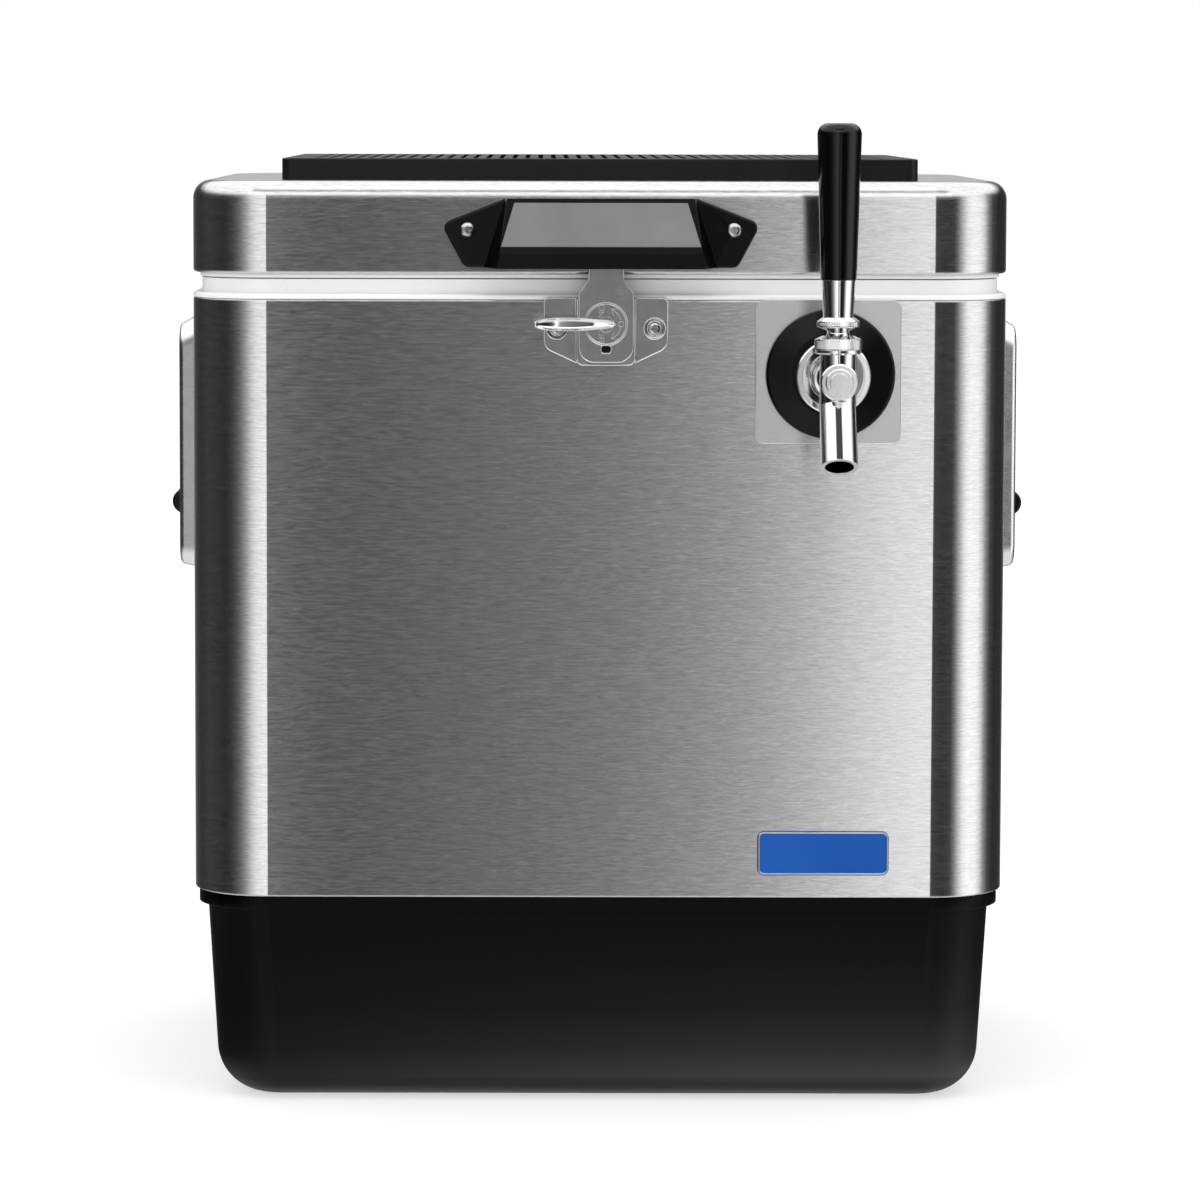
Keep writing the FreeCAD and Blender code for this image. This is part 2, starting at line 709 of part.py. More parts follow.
def make_handle_pan(side):
    pan = pan_frustum(0, 0, PAN_OUT)
    pan = round_level(pan, PAN_OUT, PAN_EDGE_ROUND)
    inner = pan_frustum(PAN_SHEET, 0, PAN_OUT - PAN_SHEET)
    inner = round_level(inner, PAN_OUT - PAN_SHEET, PAN_EDGE_ROUND - PAN_SHEET)
    dish = pocket(PAN_SHEET, 0, PAN_OUT)
    pan = pan.cut(inner.cut(dish))
    pan = pan.cut(pocket(0, PAN_SHEET, PAN_OUT))
    for hand in (-1, 1):
        hole = rod(BAIL_WIRE + RUNNING, V(0, BAIL_PIVOT_RISE, BAIL_PIVOT_OUT), X_AXIS * hand,
                   POCKET_WIDTH / 2 + PAN_RIM / 2)
        pan = pan.cut(hole)
    for y, z in rivet_places():
        pan = pan.cut(rod(RIVET_SHANK, V(y, z - PAN_Z, -OVERRUN), Z_AXIS, PAN_OUT + OVERRUN))
    return on_side(pan, side, PAN_Z)


def rivet_places():
    """The rivets of one pan: (place along the side, height)."""
    half_width = POCKET_WIDTH / 2 - RIVET_INSET
    half_height = POCKET_HEIGHT / 2 - RIVET_INSET
    middle = PAN_Z + PAN_FACE_Y
    return [(y * half_width, middle + z * half_height) for y in (-1, 1) for z in (-1, 1)]


def make_handle_rivets():
    rivet = turned([
        (0, -SCREW_LENGTH),
        (RIVET_SHANK, -SCREW_LENGTH),
        (RIVET_SHANK, PAN_SHEET),
        (RIVET_HEAD, PAN_SHEET),
        (RIVET_HEAD * 0.75, PAN_SHEET + RIVET_HEAD_HEIGHT * 0.7),
        (RIVET_HEAD * 0.4, PAN_SHEET + RIVET_HEAD_HEIGHT),
        (0, PAN_SHEET + RIVET_HEAD_HEIGHT),
    ])
    places = [(side, y, z) for side in (-1, 1) for y, z in rivet_places()]
    return Part.makeCompound([on_side(moved(rivet, x=y), side, z) for side, y, z in places])


def bail_path():
    """The bail's wire in the pan's frame: half of it, from the grip's middle to the hooked end."""
    arm = POCKET_WIDTH / 2 - POCKET_DRAFT - BAIL_SIDE_GAP
    foot = BAIL_PIVOT_RISE - BAIL_ARM
    end = arm + BAIL_SIDE_GAP + BAIL_END + POCKET_DRAFT
    out = BAIL_PIVOT_OUT + BAIL_GRIP_OUT
    return [
        V(0, foot, out),
        V(arm, foot, out),
        V(arm, BAIL_PIVOT_RISE, BAIL_PIVOT_OUT),
        V(end, BAIL_PIVOT_RISE, BAIL_PIVOT_OUT),
    ]


def bent_path(points, bend):
    """Straight runs through points, joined by tangent arcs of one radius."""
    edges = []
    start = points[0]
    for i in range(1, len(points) - 1):
        corner = points[i]
        back = points[i - 1] - corner
        ahead = points[i + 1] - corner
        back.normalize()
        ahead.normalize()
        half = back.getAngle(ahead) / 2
        enter = corner + back * (bend / math.tan(half))
        leave = corner + ahead * (bend / math.tan(half))
        inward = back + ahead
        inward.normalize()
        middle = corner + inward * (bend / math.sin(half) - bend)
        edges.append(Part.LineSegment(start, enter).toShape())
        edges.append(Part.Arc(enter, middle, leave).toShape())
        start = leave
    edges.append(Part.LineSegment(start, points[-1]).toShape())
    return Part.Wire(edges)


def tube_along(path, radius):
    """A round bar along a path."""
    first = path.Edges[0]
    start = first.valueAt(first.FirstParameter)
    heading = first.tangentAt(first.FirstParameter)
    circle = Part.Wire([Part.Circle(start, heading, radius).toShape()])
    shell = Part.BRepOffsetAPI.MakePipeShell(path)
    shell.add(circle, False, False)
    shell.build()
    shell.makeSolid()
    return shell.shape()


def make_bail(side):
    half = bail_path()
    mirrored = [V(-p.x, p.y, p.z) for p in reversed(half[1:])]
    path = bent_path(mirrored + half[1:], BAIL_WIRE_BEND)
    wire = tube_along(path, BAIL_WIRE)
    return on_side(wire, side, PAN_Z)


def make_bail_grip(side):
    middle, corner = bail_path()[:2]
    half = corner.x - BAIL_WIRE_BEND - BAIL_GRIP_GAP
    grip = rod(BAIL_GRIP_RADIUS, V(-half, middle.y, middle.z), X_AXIS, 2 * half)
    ends = [e for e in grip.Edges if e.BoundBox.XLength < GAP]
    grip = grip.makeFillet(BAIL_GRIP_ROUND, ends)
    bore = rod(BAIL_WIRE + RUNNING, V(-PAN_WIDTH / 2, middle.y, middle.z), X_AXIS, PAN_WIDTH)
    return on_side(grip.cut(bore), side, PAN_Z)


# Lid

def make_lid_pan():
    pan = plan_prism(0, PAN_FOOT, LID_TOP)
    pan = round_level(pan, LID_TOP, LID_TOP_ROUND)
    pan = round_level(pan, PAN_FOOT, LID_HEM_ROUND)
    pan = pan.cut(plan_prism(HEM_WIDTH, PAN_FOOT - OVERRUN, PAN_FOOT + HEM_HEIGHT))
    inner = plan_prism(SHEET, PAN_FOOT + HEM_HEIGHT, LID_TOP - SHEET)
    inner = round_level(inner, LID_TOP - SHEET, LID_TOP_ROUND - SHEET)
    pan = pan.cut(inner)
    for hole in lid_holes():
        pan = pan.cut(hole)
    return pan


def lid_holes():
    small = rod(SCREW_SHANK + LOOSE, V(0, 0, -SCREW_LENGTH - OVERRUN), Z_AXIS, SCREW_LENGTH + 2 * OVERRUN)
    holes = [on_front(small, hand * GRIP_SCREW_HALF, GRIP_FOOT + GRIP_SCREW_RISE) for hand in (-1, 1)]
    for x, z in hinge_screw_places(lid_leaf_middle()):
        holes.append(on_back(small, x, z))
    return holes


def make_lid_liner():
    liner = plan_prism(SKIRT_INSET, LID_FOOT, PAN_FOOT)
    plug_foot = LID_FOOT - PLUG_DEPTH
    plug_corner = CAVITY_CORNER - PLUG_GAP
    plug = plan_prism(PLUG_INSET, plug_foot, LID_FOOT, plug_corner)
    plug = round_level(plug, plug_foot, WALL)
    liner = liner.fuse(plug)
    liner = liner.cut(plan_prism(PLUG_INSET + WALL, plug_foot + WALL, LID_TOP, plug_corner - WALL))
    groove_in = SEAL_INSET + SEAL_WIDTH + GAP
    groove = plan_ring(SEAL_INSET - GAP, groove_in, LID_FOOT - OVERRUN, LID_FOOT + SEAL_GROOVE)
    return liner.cut(groove).removeSplitter()


def make_lid_foam():
    foam = plan_prism(HEM_WIDTH + GAP, PAN_FOOT + GAP, LID_TOP - SHEET - GAP, BODY_CORNER - HEM_WIDTH - GAP)
    foam = round_level(foam, LID_TOP - SHEET - GAP, LID_TOP_ROUND - HEM_HEIGHT)
    inset = PLUG_INSET + WALL + GAP
    corner = CAVITY_CORNER - PLUG_GAP - WALL - GAP
    foam = foam.fuse(plan_prism(inset, LID_FOOT - PLUG_DEPTH + WALL + GAP, PAN_FOOT + GAP, corner))
    for hole in lid_holes():
        foam = foam.cut(hole)
    return foam.removeSplitter()


def make_lid_seal():
    return plan_ring(SEAL_INSET, SEAL_INSET + SEAL_WIDTH, COLLAR_TOP, LID_FOOT + SEAL_GROOVE)


def grip_block(shrink):
    """The grip's raised block, or the hollow in it where it is drawn in by a wall."""
    top = GRIP_HEIGHT - shrink
    foot = -OVERRUN if shrink > 0 else 0
    profile = [
        V(0, 0, foot),
        V(0, BLOCK_OUT - shrink, foot),
        V(0, BLOCK_OUT - shrink, BLOCK_BROW_RISE - BLOCK_LIP_ROUND),
        V(0, BLOCK_BROW_OUT - shrink, BLOCK_BROW_RISE),
        V(0, BLOCK_TOP_OUT - shrink, top),
        V(0, 0, top),
    ]
    # Here Y runs outward and Z up; the front's own frame has them as Z and Y.
    profile = [V(p.x, p.z, p.y) for p in profile]
    slab = Part.Face(Part.makePolygon(profile + profile[:1])).extrude(X_AXIS * (2 * GRIP_TIP_HALF))
    slab.translate(X_AXIS * -GRIP_TIP_HALF)
    return slab.common(grip_sides(shrink))


def grip_sides(shrink):
    """The slanted ends of the grip's block."""
    wires = []
    for half_top, half_foot, out in (
        (BLOCK_BACK_TOP_HALF, BLOCK_BACK_FOOT_HALF, 0),
        (BLOCK_FRONT_TOP_HALF, BLOCK_FRONT_FOOT_HALF, BLOCK_OUT),
    ):
        lean = (half_foot - half_top) / GRIP_HEIGHT
        foot = half_foot + lean * OVERRUN - shrink
        top = half_top - shrink
        wires.append(Part.makePolygon([
            V(-foot, -OVERRUN, out), V(foot, -OVERRUN, out),
            V(top, GRIP_HEIGHT, out), V(-top, GRIP_HEIGHT, out), V(-foot, -OVERRUN, out),
        ]))
    return Part.makeLoft(wires, True, True)


def make_lid_grip():
    ears = prism(rounded_outline([
        (-GRIP_FOOT_HALF, 0, EAR_CORNER),
        (GRIP_FOOT_HALF, 0, EAR_CORNER),
        (GRIP_TIP_HALF, GRIP_TIP_RISE, EAR_CORNER),
        (GRIP_TOP_HALF, GRIP_HEIGHT, EAR_CORNER),
        (-GRIP_TOP_HALF, GRIP_HEIGHT, EAR_CORNER),
        (-GRIP_TIP_HALF, GRIP_TIP_RISE, EAR_CORNER),
    ]), EAR_THICKNESS)
    ears = round_level(ears, EAR_THICKNESS, EAR_CORNER / 3)
    grip = ears.fuse(grip_block(0)).removeSplitter()
    grip = grip.cut(grip_block(GRIP_WALL))
    for hand in (-1, 1):
        hole = rod(SCREW_SHANK + LOOSE, V(hand * GRIP_SCREW_HALF, GRIP_SCREW_RISE, -OVERRUN), Z_AXIS,
                   EAR_THICKNESS + 2 * OVERRUN)
        grip = grip.cut(hole)
    return on_front(grip, 0, GRIP_FOOT)


def make_grip_screws():
    seat = moved(screw(), z=EAR_THICKNESS)
    return Part.makeCompound([
        on_front(seat, hand * GRIP_SCREW_HALF, GRIP_FOOT + GRIP_SCREW_RISE) for hand in (-1, 1)
    ])


# Drip tray and grille on the lid

def tray_middle():
    return FRONT + TRAY_FRONT + TRAY_DEPTH / 2


def tray_prism(inset, low, high):
    corners = rectangle_corners(TRAY_WIDTH - 2 * inset, TRAY_DEPTH - 2 * inset, TRAY_CORNER - inset / 2,
                                0, tray_middle())
    return prism(rounded_outline(corners, low), high - low)


def make_drip_tray():
    tray = tray_prism(0, LID_TOP, TRAY_TOP)
    tray = round_level(tray, TRAY_TOP, TRAY_EDGE_ROUND)
    tray = tray.cut(tray_prism(TRAY_WALL, TRAY_TOP - GRILLE_THICKNESS, TRAY_TOP + OVERRUN))
    return tray.cut(tray_prism(TRAY_WALL + GRILLE_LEDGE, LID_TOP + TRAY_FLOOR, TRAY_TOP))


def make_drip_grille():
    low = TRAY_TOP - GRILLE_THICKNESS
    grille = tray_prism(TRAY_WALL + GAP, low, TRAY_TOP)
    inner_width = TRAY_WIDTH - 2 * (TRAY_WALL + GAP)
    slot_length = TRAY_DEPTH - 2 * (TRAY_WALL + GRILLE_MARGIN)
    count = int((inner_width - 2 * GRILLE_MARGIN + SLOT_WIDTH) / SLOT_PITCH)
    slots = []
    for k in range(count):
        x = (k - (count - 1) / 2) * SLOT_PITCH
        y = tray_middle()
        slots.append(block(x - SLOT_WIDTH / 2, x + SLOT_WIDTH / 2,
                           y - slot_length / 2, y + slot_length / 2, low - OVERRUN, TRAY_TOP + OVERRUN))
    grille = grille.cut(Part.makeCompound(slots))
    rib_half = inner_width / 2 - GRILLE_LEDGE - GRILLE_MARGIN / 2
    for k in range(RIB_COUNT):
        y = tray_middle() + (k - (RIB_COUNT - 1) / 2) * slot_length / (RIB_COUNT + 1)
        rib = block(-rib_half, rib_half, y - RIB_WIDTH / 2, y + RIB_WIDTH / 2, low - RIB_HEIGHT, low)
        grille = grille.fuse(rib)
    return grille.removeSplitter()


# Latch

def make_catch_plate():
    """A plate with two wings and a raised keep; heights count down from the plate's top."""
    wings = prism(rounded_outline([
        (-CATCH_HALF, -CATCH_WING_OUTER_DROP, CATCH_WING_ROUND),
        (-KEEP_HALF, -CATCH_WING_DROP, 0),
        (KEEP_HALF, -CATCH_WING_DROP, 0),
        (CATCH_HALF, -CATCH_WING_OUTER_DROP, CATCH_WING_ROUND),
        (CATCH_HALF, 0, CATCH_TOP_ROUND),
        (-CATCH_HALF, 0, CATCH_TOP_ROUND),
    ]), CATCH_SHEET)
    keep = prism(rounded_outline([
        (-KEEP_HALF, -KEEP_DROP, KEEP_BOTTOM_ROUND),
        (KEEP_HALF, -KEEP_DROP, KEEP_BOTTOM_ROUND),
        (KEEP_HALF, 0, 0),
        (-KEEP_HALF, 0, 0),
    ]), KEEP_OUT)
    keep = round_level(keep, KEEP_OUT, CATCH_SHEET / 2)
    window = block(-KEEP_WINDOW_HALF, KEEP_WINDOW_HALF, -KEEP_WINDOW_DROP, OVERRUN,
                   CATCH_SHEET, KEEP_OUT + OVERRUN)
    plate = wings.fuse(keep).cut(window)
    for hand in (-1, 1):
        at = V(hand * CATCH_SCREW_HALF, -CATCH_SCREW_DROP, 0)
        plate = plate.cut(rod(SCREW_SHANK + LOOSE, at - Z_AXIS * OVERRUN, Z_AXIS, 2 * OVERRUN))
        dish_floor = at + Z_AXIS * (CATCH_SHEET / 2)
        plate = plate.cut(Part.makeCone(SCREW_HEAD, CATCH_SCREW_DISH, CATCH_SHEET / 2, dish_floor, Z_AXIS))
    return on_front(plate.removeSplitter(), LATCH_X, CATCH_TOP)


def make_catch_screws():
    seat = moved(screw(), z=CATCH_SHEET / 2)
    return Part.makeCompound([
        on_front(seat, LATCH_X + hand * CATCH_SCREW_HALF, CATCH_TOP - CATCH_SCREW_DROP) for hand in (-1, 1)
    ])


def make_hasp_bracket():
    """A small bracket whose two ears hold the hasp's pin; heights count from the lid's lower edge."""
    ear_in = HASP_NECK_HALF + BRACKET_SIDE_GAP
    ear_out = ear_in + BRACKET_SHEET
    low = HASP_PIN_RISE - KNUCKLE
    high = HASP_PIN_RISE + BRACKET_RISE
    bracket = block(-ear_out, ear_out, low, high, 0, BRACKET_SHEET)
    for hand in (-1, 1):
        x0, x1 = sorted((hand * ear_in, hand * ear_out))
        bracket = bracket.fuse(block(x0, x1, low, high, 0, HASP_PIN_OUT + KNUCKLE))
    pin_hole = rod(HASP_PIN, V(-KEEP_HALF, HASP_PIN_RISE, HASP_PIN_OUT), X_AXIS, 2 * KEEP_HALF)
    return on_front(bracket.cut(pin_hole).removeSplitter(), LATCH_X, PAN_FOOT)


def make_hasp_pin():
    half = HASP_NECK_HALF + BRACKET_SIDE_GAP + BRACKET_SHEET + HASP_PIN / 2
    pin = rod(HASP_PIN, V(-half, HASP_PIN_RISE, HASP_PIN_OUT), X_AXIS, 2 * half)
    return on_front(pin, LATCH_X, PAN_FOOT)


def make_hasp_strap():
    """Heights count from the lid's lower edge: the pin is above it, the strap's foot below."""
    strap = prism(rounded_outline([
        (-HASP_NECK_HALF, HASP_PIN_RISE, 0),
        (-HASP_NECK_HALF, -HASP_NECK_END_DROP, HASP_SHOULDER_ROUND),
        (-HASP_HALF, -HASP_SHOULDER_DROP, HASP_SHOULDER_ROUND),
        (-HASP_HALF, -HASP_DROP, HASP_FOOT_ROUND),
        (HASP_HALF, -HASP_DROP, HASP_FOOT_ROUND),
        (HASP_HALF, -HASP_SHOULDER_DROP, HASP_SHOULDER_ROUND),
        (HASP_NECK_HALF, -HASP_NECK_END_DROP, HASP_SHOULDER_ROUND),
        (HASP_NECK_HALF, HASP_PIN_RISE, 0),
    ], HASP_BACK_OUT), HASP_SHEET)
    strap = round_level(strap, HASP_BACK_OUT + HASP_SHEET, HASP_SHEET / 4)
    knuckle = rod(KNUCKLE, V(-HASP_NECK_HALF, HASP_PIN_RISE, HASP_PIN_OUT), X_AXIS, 2 * HASP_NECK_HALF)
    strap = strap.fuse(knuckle)
    face = HASP_BACK_OUT + HASP_SHEET
    ring = rod(DIAL, V(0, -DIAL_DROP, face), Z_AXIS, DIAL_RISE)
    ring = ring.cut(rod(DIAL - DIAL_BAND, V(0, -DIAL_DROP, face), Z_AXIS, DIAL_RISE))
    strap = strap.fuse(ring)
    pin_bore = rod(HASP_PIN + RUNNING, V(-KEEP_HALF, HASP_PIN_RISE, HASP_PIN_OUT), X_AXIS, 2 * KEEP_HALF)
    shaft_hole = rod(LEVER_SHAFT + RUNNING, V(0, -DIAL_DROP, 0), Z_AXIS, 2 * face)
    slot_middle = -HASP_DROP + HASP_SLOT_RISE + HASP_SLOT_HEIGHT / 2
    slot_corners = rectangle_corners(HASP_SLOT_WIDTH, HASP_SLOT_HEIGHT, HASP_SLOT_HEIGHT / 3, 0, slot_middle)
    slot = prism(rounded_outline(slot_corners), 2 * face)
    for cut in (pin_bore, shaft_hole, slot):
        strap = strap.cut(cut)
    return on_front(strap.removeSplitter(), LATCH_X, PAN_FOOT)


def make_latch_lever():
    """An oval thumb lever with a hollow face, on a hub and a shaft through the hasp."""
    face = HASP_BACK_OUT + HASP_SHEET
    low = face + DIAL_RISE + LEVER_STAND_OFF
    arm = prism(rounded_outline([
        (-LEVER_REACH, -LEVER_TIP_HALF_HEIGHT, LEVER_TIP_HALF_HEIGHT * 0.9),
        (-LEVER_REACH / 3, -LEVER_HALF_HEIGHT, 4 * LEVER_HALF_HEIGHT),
        (LEVER_TAIL, -LEVER_TIP_HALF_HEIGHT, LEVER_TIP_HALF_HEIGHT * 0.9),
        (LEVER_TAIL, LEVER_TIP_HALF_HEIGHT, LEVER_TIP_HALF_HEIGHT * 0.9),
        (-LEVER_REACH / 3, LEVER_HALF_HEIGHT, 4 * LEVER_HALF_HEIGHT),
        (-LEVER_REACH, LEVER_TIP_HALF_HEIGHT, LEVER_TIP_HALF_HEIGHT * 0.9),
    ], low), LEVER_THICKNESS)
    arm = round_level(arm, low + LEVER_THICKNESS, LEVER_RIM * 0.8)
    hollow_half = LEVER_TIP_HALF_HEIGHT - LEVER_RIM / 2
    hollow = prism(rounded_outline([
        (-LEVER_REACH + 2 * LEVER_RIM, -hollow_half, hollow_half * 0.9),
        (LEVER_TAIL - 3 * LEVER_RIM, -hollow_half, hollow_half * 0.9),
        (LEVER_TAIL - 3 * LEVER_RIM, hollow_half, hollow_half * 0.9),
        (-LEVER_REACH + 2 * LEVER_RIM, hollow_half, hollow_half * 0.9),
    ], low + LEVER_THICKNESS - LEVER_HOLLOW), LEVER_HOLLOW + OVERRUN)
    arm = arm.cut(hollow)
    hub = rod(LEVER_HUB, V(0, 0, face + LEVER_STAND_OFF / 4), Z_AXIS, low - face)
    shaft_back = HASP_BACK_OUT - CAM_THICKNESS - GAP
    shaft = rod(LEVER_SHAFT, V(0, 0, shaft_back), Z_AXIS, low - shaft_back)
    lever = arm.fuse(hub).fuse(shaft).removeSplitter()
    return on_front(lever, LATCH_X, DIAL_Z)


def make_latch_cam():
    """A round cam with a nose, behind the hasp."""
    back = HASP_BACK_OUT - CAM_THICKNESS - GAP
    cam = rod(CAM_RADIUS, V(0, 0, back), Z_AXIS, CAM_THICKNESS)
    nose = block(0, CAM_REACH, -CAM_HALF_HEIGHT, CAM_HALF_HEIGHT, back, back + CAM_THICKNESS)
    cam = cam.fuse(nose).cut(rod(LEVER_SHAFT, V(0, 0, 0), Z_AXIS, HASP_BACK_OUT))
    return on_front(cam.removeSplitter(), LATCH_X, DIAL_Z)


# Tap

def on_tap(shape):
    return on_front(shape, TAP_X, TAP_Z)


def shank_hole(low, high, radius):
    return rod(radius, V(0, 0, low), Z_AXIS, high - low)


def make_faucet_plate():
    middle = TAP_DROP - PLATE_HEIGHT / 2
    corners = rectangle_corners(PLATE_WIDTH, PLATE_HEIGHT, PLATE_CORNER, -PLATE_SHIFT, middle)
    plate = prism(rounded_outline(corners), PLATE_SHEET)
    return on_tap(plate.cut(shank_hole(-OVERRUN, OVERRUN, SHANK_RADIUS + LOOSE)))


def make_shank_flange():
    flange = turned([
        (SHANK_RADIUS + LOOSE, PLATE_SHEET),
        (FLANGE_RADIUS, PLATE_SHEET),
        (FLANGE_RADIUS, PLATE_SHEET + FLANGE_RIM),
        (FLANGE_HUB_RADIUS, PLATE_SHEET + FLANGE_HUB),
        (SHANK_RADIUS + LOOSE, PLATE_SHEET + FLANGE_HUB),
    ])
    rim = [e for e in flange.Edges if abs(e.BoundBox.XLength - 2 * FLANGE_RADIUS) < GAP
           and e.BoundBox.ZMin > PLATE_SHEET + GAP]
    return on_tap(flange.makeFillet(FLANGE_EDGE_ROUND, rim))


def make_shank():
    thread_end = -CAVITY_INSET - SHANK_THREAD_INSIDE
    tail_end = thread_end - TAIL_LENGTH
    return on_tap(turned([
        (SHANK_BORE, tail_end),
        (TAIL_RADIUS, tail_end),
        (TAIL_RADIUS, thread_end),
        (SHANK_RADIUS, thread_end),
        (SHANK_RADIUS, SHANK_FRONT),
        (SHANK_BORE, SHANK_FRONT),
    ]))


def lock_nut():
    nut = hexagon(LOCK_NUT_FLATS, -CAVITY_INSET - LOCK_NUT_HEIGHT, -CAVITY_INSET)
    return nut.cut(shank_hole(-BODY_DEPTH, 0, SHANK_RADIUS + RUNNING))


def union_nut():
    """The nut that joins a tube to the shank's tail."""
    tail_end = -CAVITY_INSET - SHANK_THREAD_INSIDE - TAIL_LENGTH
    nut = hexagon(UNION_FLATS, tail_end - UNION_LENGTH + UNION_OVERLAP, tail_end + UNION_OVERLAP)
    nut = nut.cut(shank_hole(tail_end, 0, TAIL_RADIUS + RUNNING))
    return nut.cut(shank_hole(-BODY_DEPTH, 0, TUBE_RADIUS + TUBE_BORE_GAP))


def make_coupling_nut():
    shoulder = COUPLING_FRONT - COUPLING_DISH - COUPLING_LEDGE
    bore = SHANK_RADIUS + COUPLING_THREAD_GAP
    throat = NECK_RADIUS + LOOSE
    return on_tap(turned([
        (bore, COUPLING_BACK),
        (COUPLING_RADIUS - BONNET_GROOVE, COUPLING_BACK),
        (COUPLING_RADIUS, COUPLING_BACK + BONNET_GROOVE),
        (COUPLING_RADIUS, COUPLING_FRONT - BONNET_GROOVE),
        (COUPLING_RADIUS - BONNET_GROOVE, COUPLING_FRONT),
        (COUPLING_FACE, COUPLING_FRONT),
        (throat + COUPLING_LEDGE / 2, COUPLING_FRONT - COUPLING_DISH),
        (throat, COUPLING_FRONT - COUPLING_DISH),
        (throat, shoulder),
        (bore, shoulder),
    ]))


def spout_direction():
    lean = math.radians(SPOUT_DEG)
    return V(0, -math.sin(lean), -math.cos(lean))


def make_faucet_body():
    tail_out = COUPLING_FRONT - COUPLING_DISH - COUPLING_LEDGE
    outer = on_tap(turned([
        (0, tail_out - FAUCET_TAIL_THICKNESS),
        (FAUCET_TAIL_RADIUS, tail_out - FAUCET_TAIL_THICKNESS),
        (FAUCET_TAIL_RADIUS, tail_out),
        (NECK_RADIUS, tail_out),
        (NECK_RADIUS, FAUCET_AXIS_OUT - NOSE_RADIUS - NECK_TAPER),
        (NOSE_RADIUS, FAUCET_AXIS_OUT - NOSE_RADIUS),
        (NOSE_RADIUS, CAP_BOSS_OUT),
        (0, CAP_BOSS_OUT),
    ]))
    bend = V(TAP_X, FAUCET_Y, TAP_Z - FAUCET_BEND_DROP)
    barrel = rod(FAUCET_RADIUS, bend, Z_AXIS, FAUCET_BEND_DROP + FAUCET_RISE)
    spout = rod(SPOUT_RADIUS, bend, spout_direction(), SPOUT_LENGTH)
    body = outer.fuse(barrel).fuse(Part.makeSphere(SPOUT_RADIUS, bend)).fuse(spout)
    spout_bore = rod(SPOUT_BORE, bend, spout_direction(), SPOUT_LENGTH + OVERRUN)
    body = body.cut(spout_bore).cut(Part.makeSphere(SPOUT_BORE, bend))
    body = body.cut(on_tap(shank_hole(0, SEAT_BACK_OUT, CHAMBER)))
    body = body.cut(on_tap(shank_hole(0, FAUCET_AXIS_OUT, SEAT_BORE)))
    body = body.cut(on_tap(shank_hole(SEAT_BACK_OUT + SEAT_THICKNESS, CAP_BOSS_OUT + OVERRUN, CHAMBER)))
    lever_bore = rod(CHAMBER, V(TAP_X, FAUCET_Y, TAP_Z), Z_AXIS, FAUCET_RISE + OVERRUN)
    slot_half = TONGUE_RADIUS + LOOSE
    tongue_slot = block(TAP_X - slot_half, TAP_X + slot_half, FAUCET_Y, FAUCET_Y + TONGUE_THROW,
                        TAP_Z, TAP_Z + FAUCET_RISE * 0.75)
    return body.cut(lever_bore).cut(tongue_slot).removeSplitter()


def make_faucet_front_cap():
    ring = CAP_BOSS_OUT + CAP_HEIGHT
    disc = ring + CAP_RING_HEIGHT
    top = disc + CAP_DISC_HEIGHT
    return on_tap(turned([
        (0, CAP_BOSS_OUT),
        (CAP_RADIUS, CAP_BOSS_OUT),
        (CAP_RADIUS, ring - CAP_ROUND),
        (CAP_RADIUS - CAP_ROUND, ring),
        (CAP_RING_RADIUS, ring),
        (CAP_RING_RADIUS, disc - CAP_ROUND / 2),
        (CAP_RING_RADIUS - CAP_ROUND / 2, disc),
        (CAP_DISC_RADIUS, disc),
        (CAP_DISC_RADIUS, top),
        (0, top),
    ]))


def upright(shape, z):
    return moved(shape, TAP_X, FAUCET_Y, z)


def make_faucet_bonnet():
    """A knurled ring on top of the faucet, with a sloped shoulder round the lever's ball."""
    return upright(turned([
        (CHAMBER, 0),
        (FAUCET_RADIUS, 0),
        (BONNET_RADIUS - BONNET_GROOVE, 0),
        (BONNET_RADIUS, BONNET_GROOVE),
        (BONNET_RADIUS, BONNET_SHOULDER),
        (BONNET_MOUTH, BONNET_HEIGHT),
        (BALL_RADIUS + GAP, BONNET_HEIGHT),
        (BALL_RADIUS + GAP, BONNET_SKIRT),
        (CHAMBER, BONNET_SKIRT),
    ]), BONNET_FOOT)


def make_tap_lever():
    """The ball with its stud above and its thin tongue below."""
    at = V(TAP_X, FAUCET_Y, BALL_Z)
    lever = Part.makeSphere(BALL_RADIUS, at)
    lever = lever.fuse(rod(LEVER_NECK, at, Z_AXIS, COLLAR_GAP + LEVER_COLLAR_CONE))
    stud_foot = COLLAR_GAP + LEVER_COLLAR_CONE
    lever = lever.fuse(rod(STUD_RADIUS, at + Z_AXIS * stud_foot, Z_AXIS, STUD_LENGTH - stud_foot))
    lever = lever.fuse(rod(TONGUE_RADIUS, at - Z_AXIS * BALL_RISE, Z_AXIS, BALL_RISE))
    lever = lever.fuse(Part.makeSphere(TONGUE_BALL, at - Z_AXIS * BALL_RISE))
    return lever.removeSplitter()


def make_lever_collar():
    band_foot = LEVER_COLLAR_CONE
    band_top = band_foot + LEVER_COLLAR_BAND
    crown = band_top + LEVER_COLLAR_CROWN
    collar = turned([
        (0, 0),
        (LEVER_COLLAR_FOOT, 0),
        (LEVER_COLLAR_RADIUS, band_foot),
        (LEVER_COLLAR_RADIUS, band_top),
        (LEVER_COLLAR_TOP, crown),
        (0, crown),
    ])
    collar = collar.cut(rod(LEVER_NECK + RUNNING, V(0, 0, -OVERRUN), Z_AXIS, OVERRUN + band_foot))
    collar = collar.cut(Part.makeSphere(BALL_RADIUS + RUNNING, V(0, 0, -COLLAR_GAP)))
    collar = collar.cut(rod(STUD_RADIUS + RUNNING, V(0, 0, band_foot), Z_AXIS, STUD_LENGTH))
    return upright(collar, LEVER_COLLAR_Z)


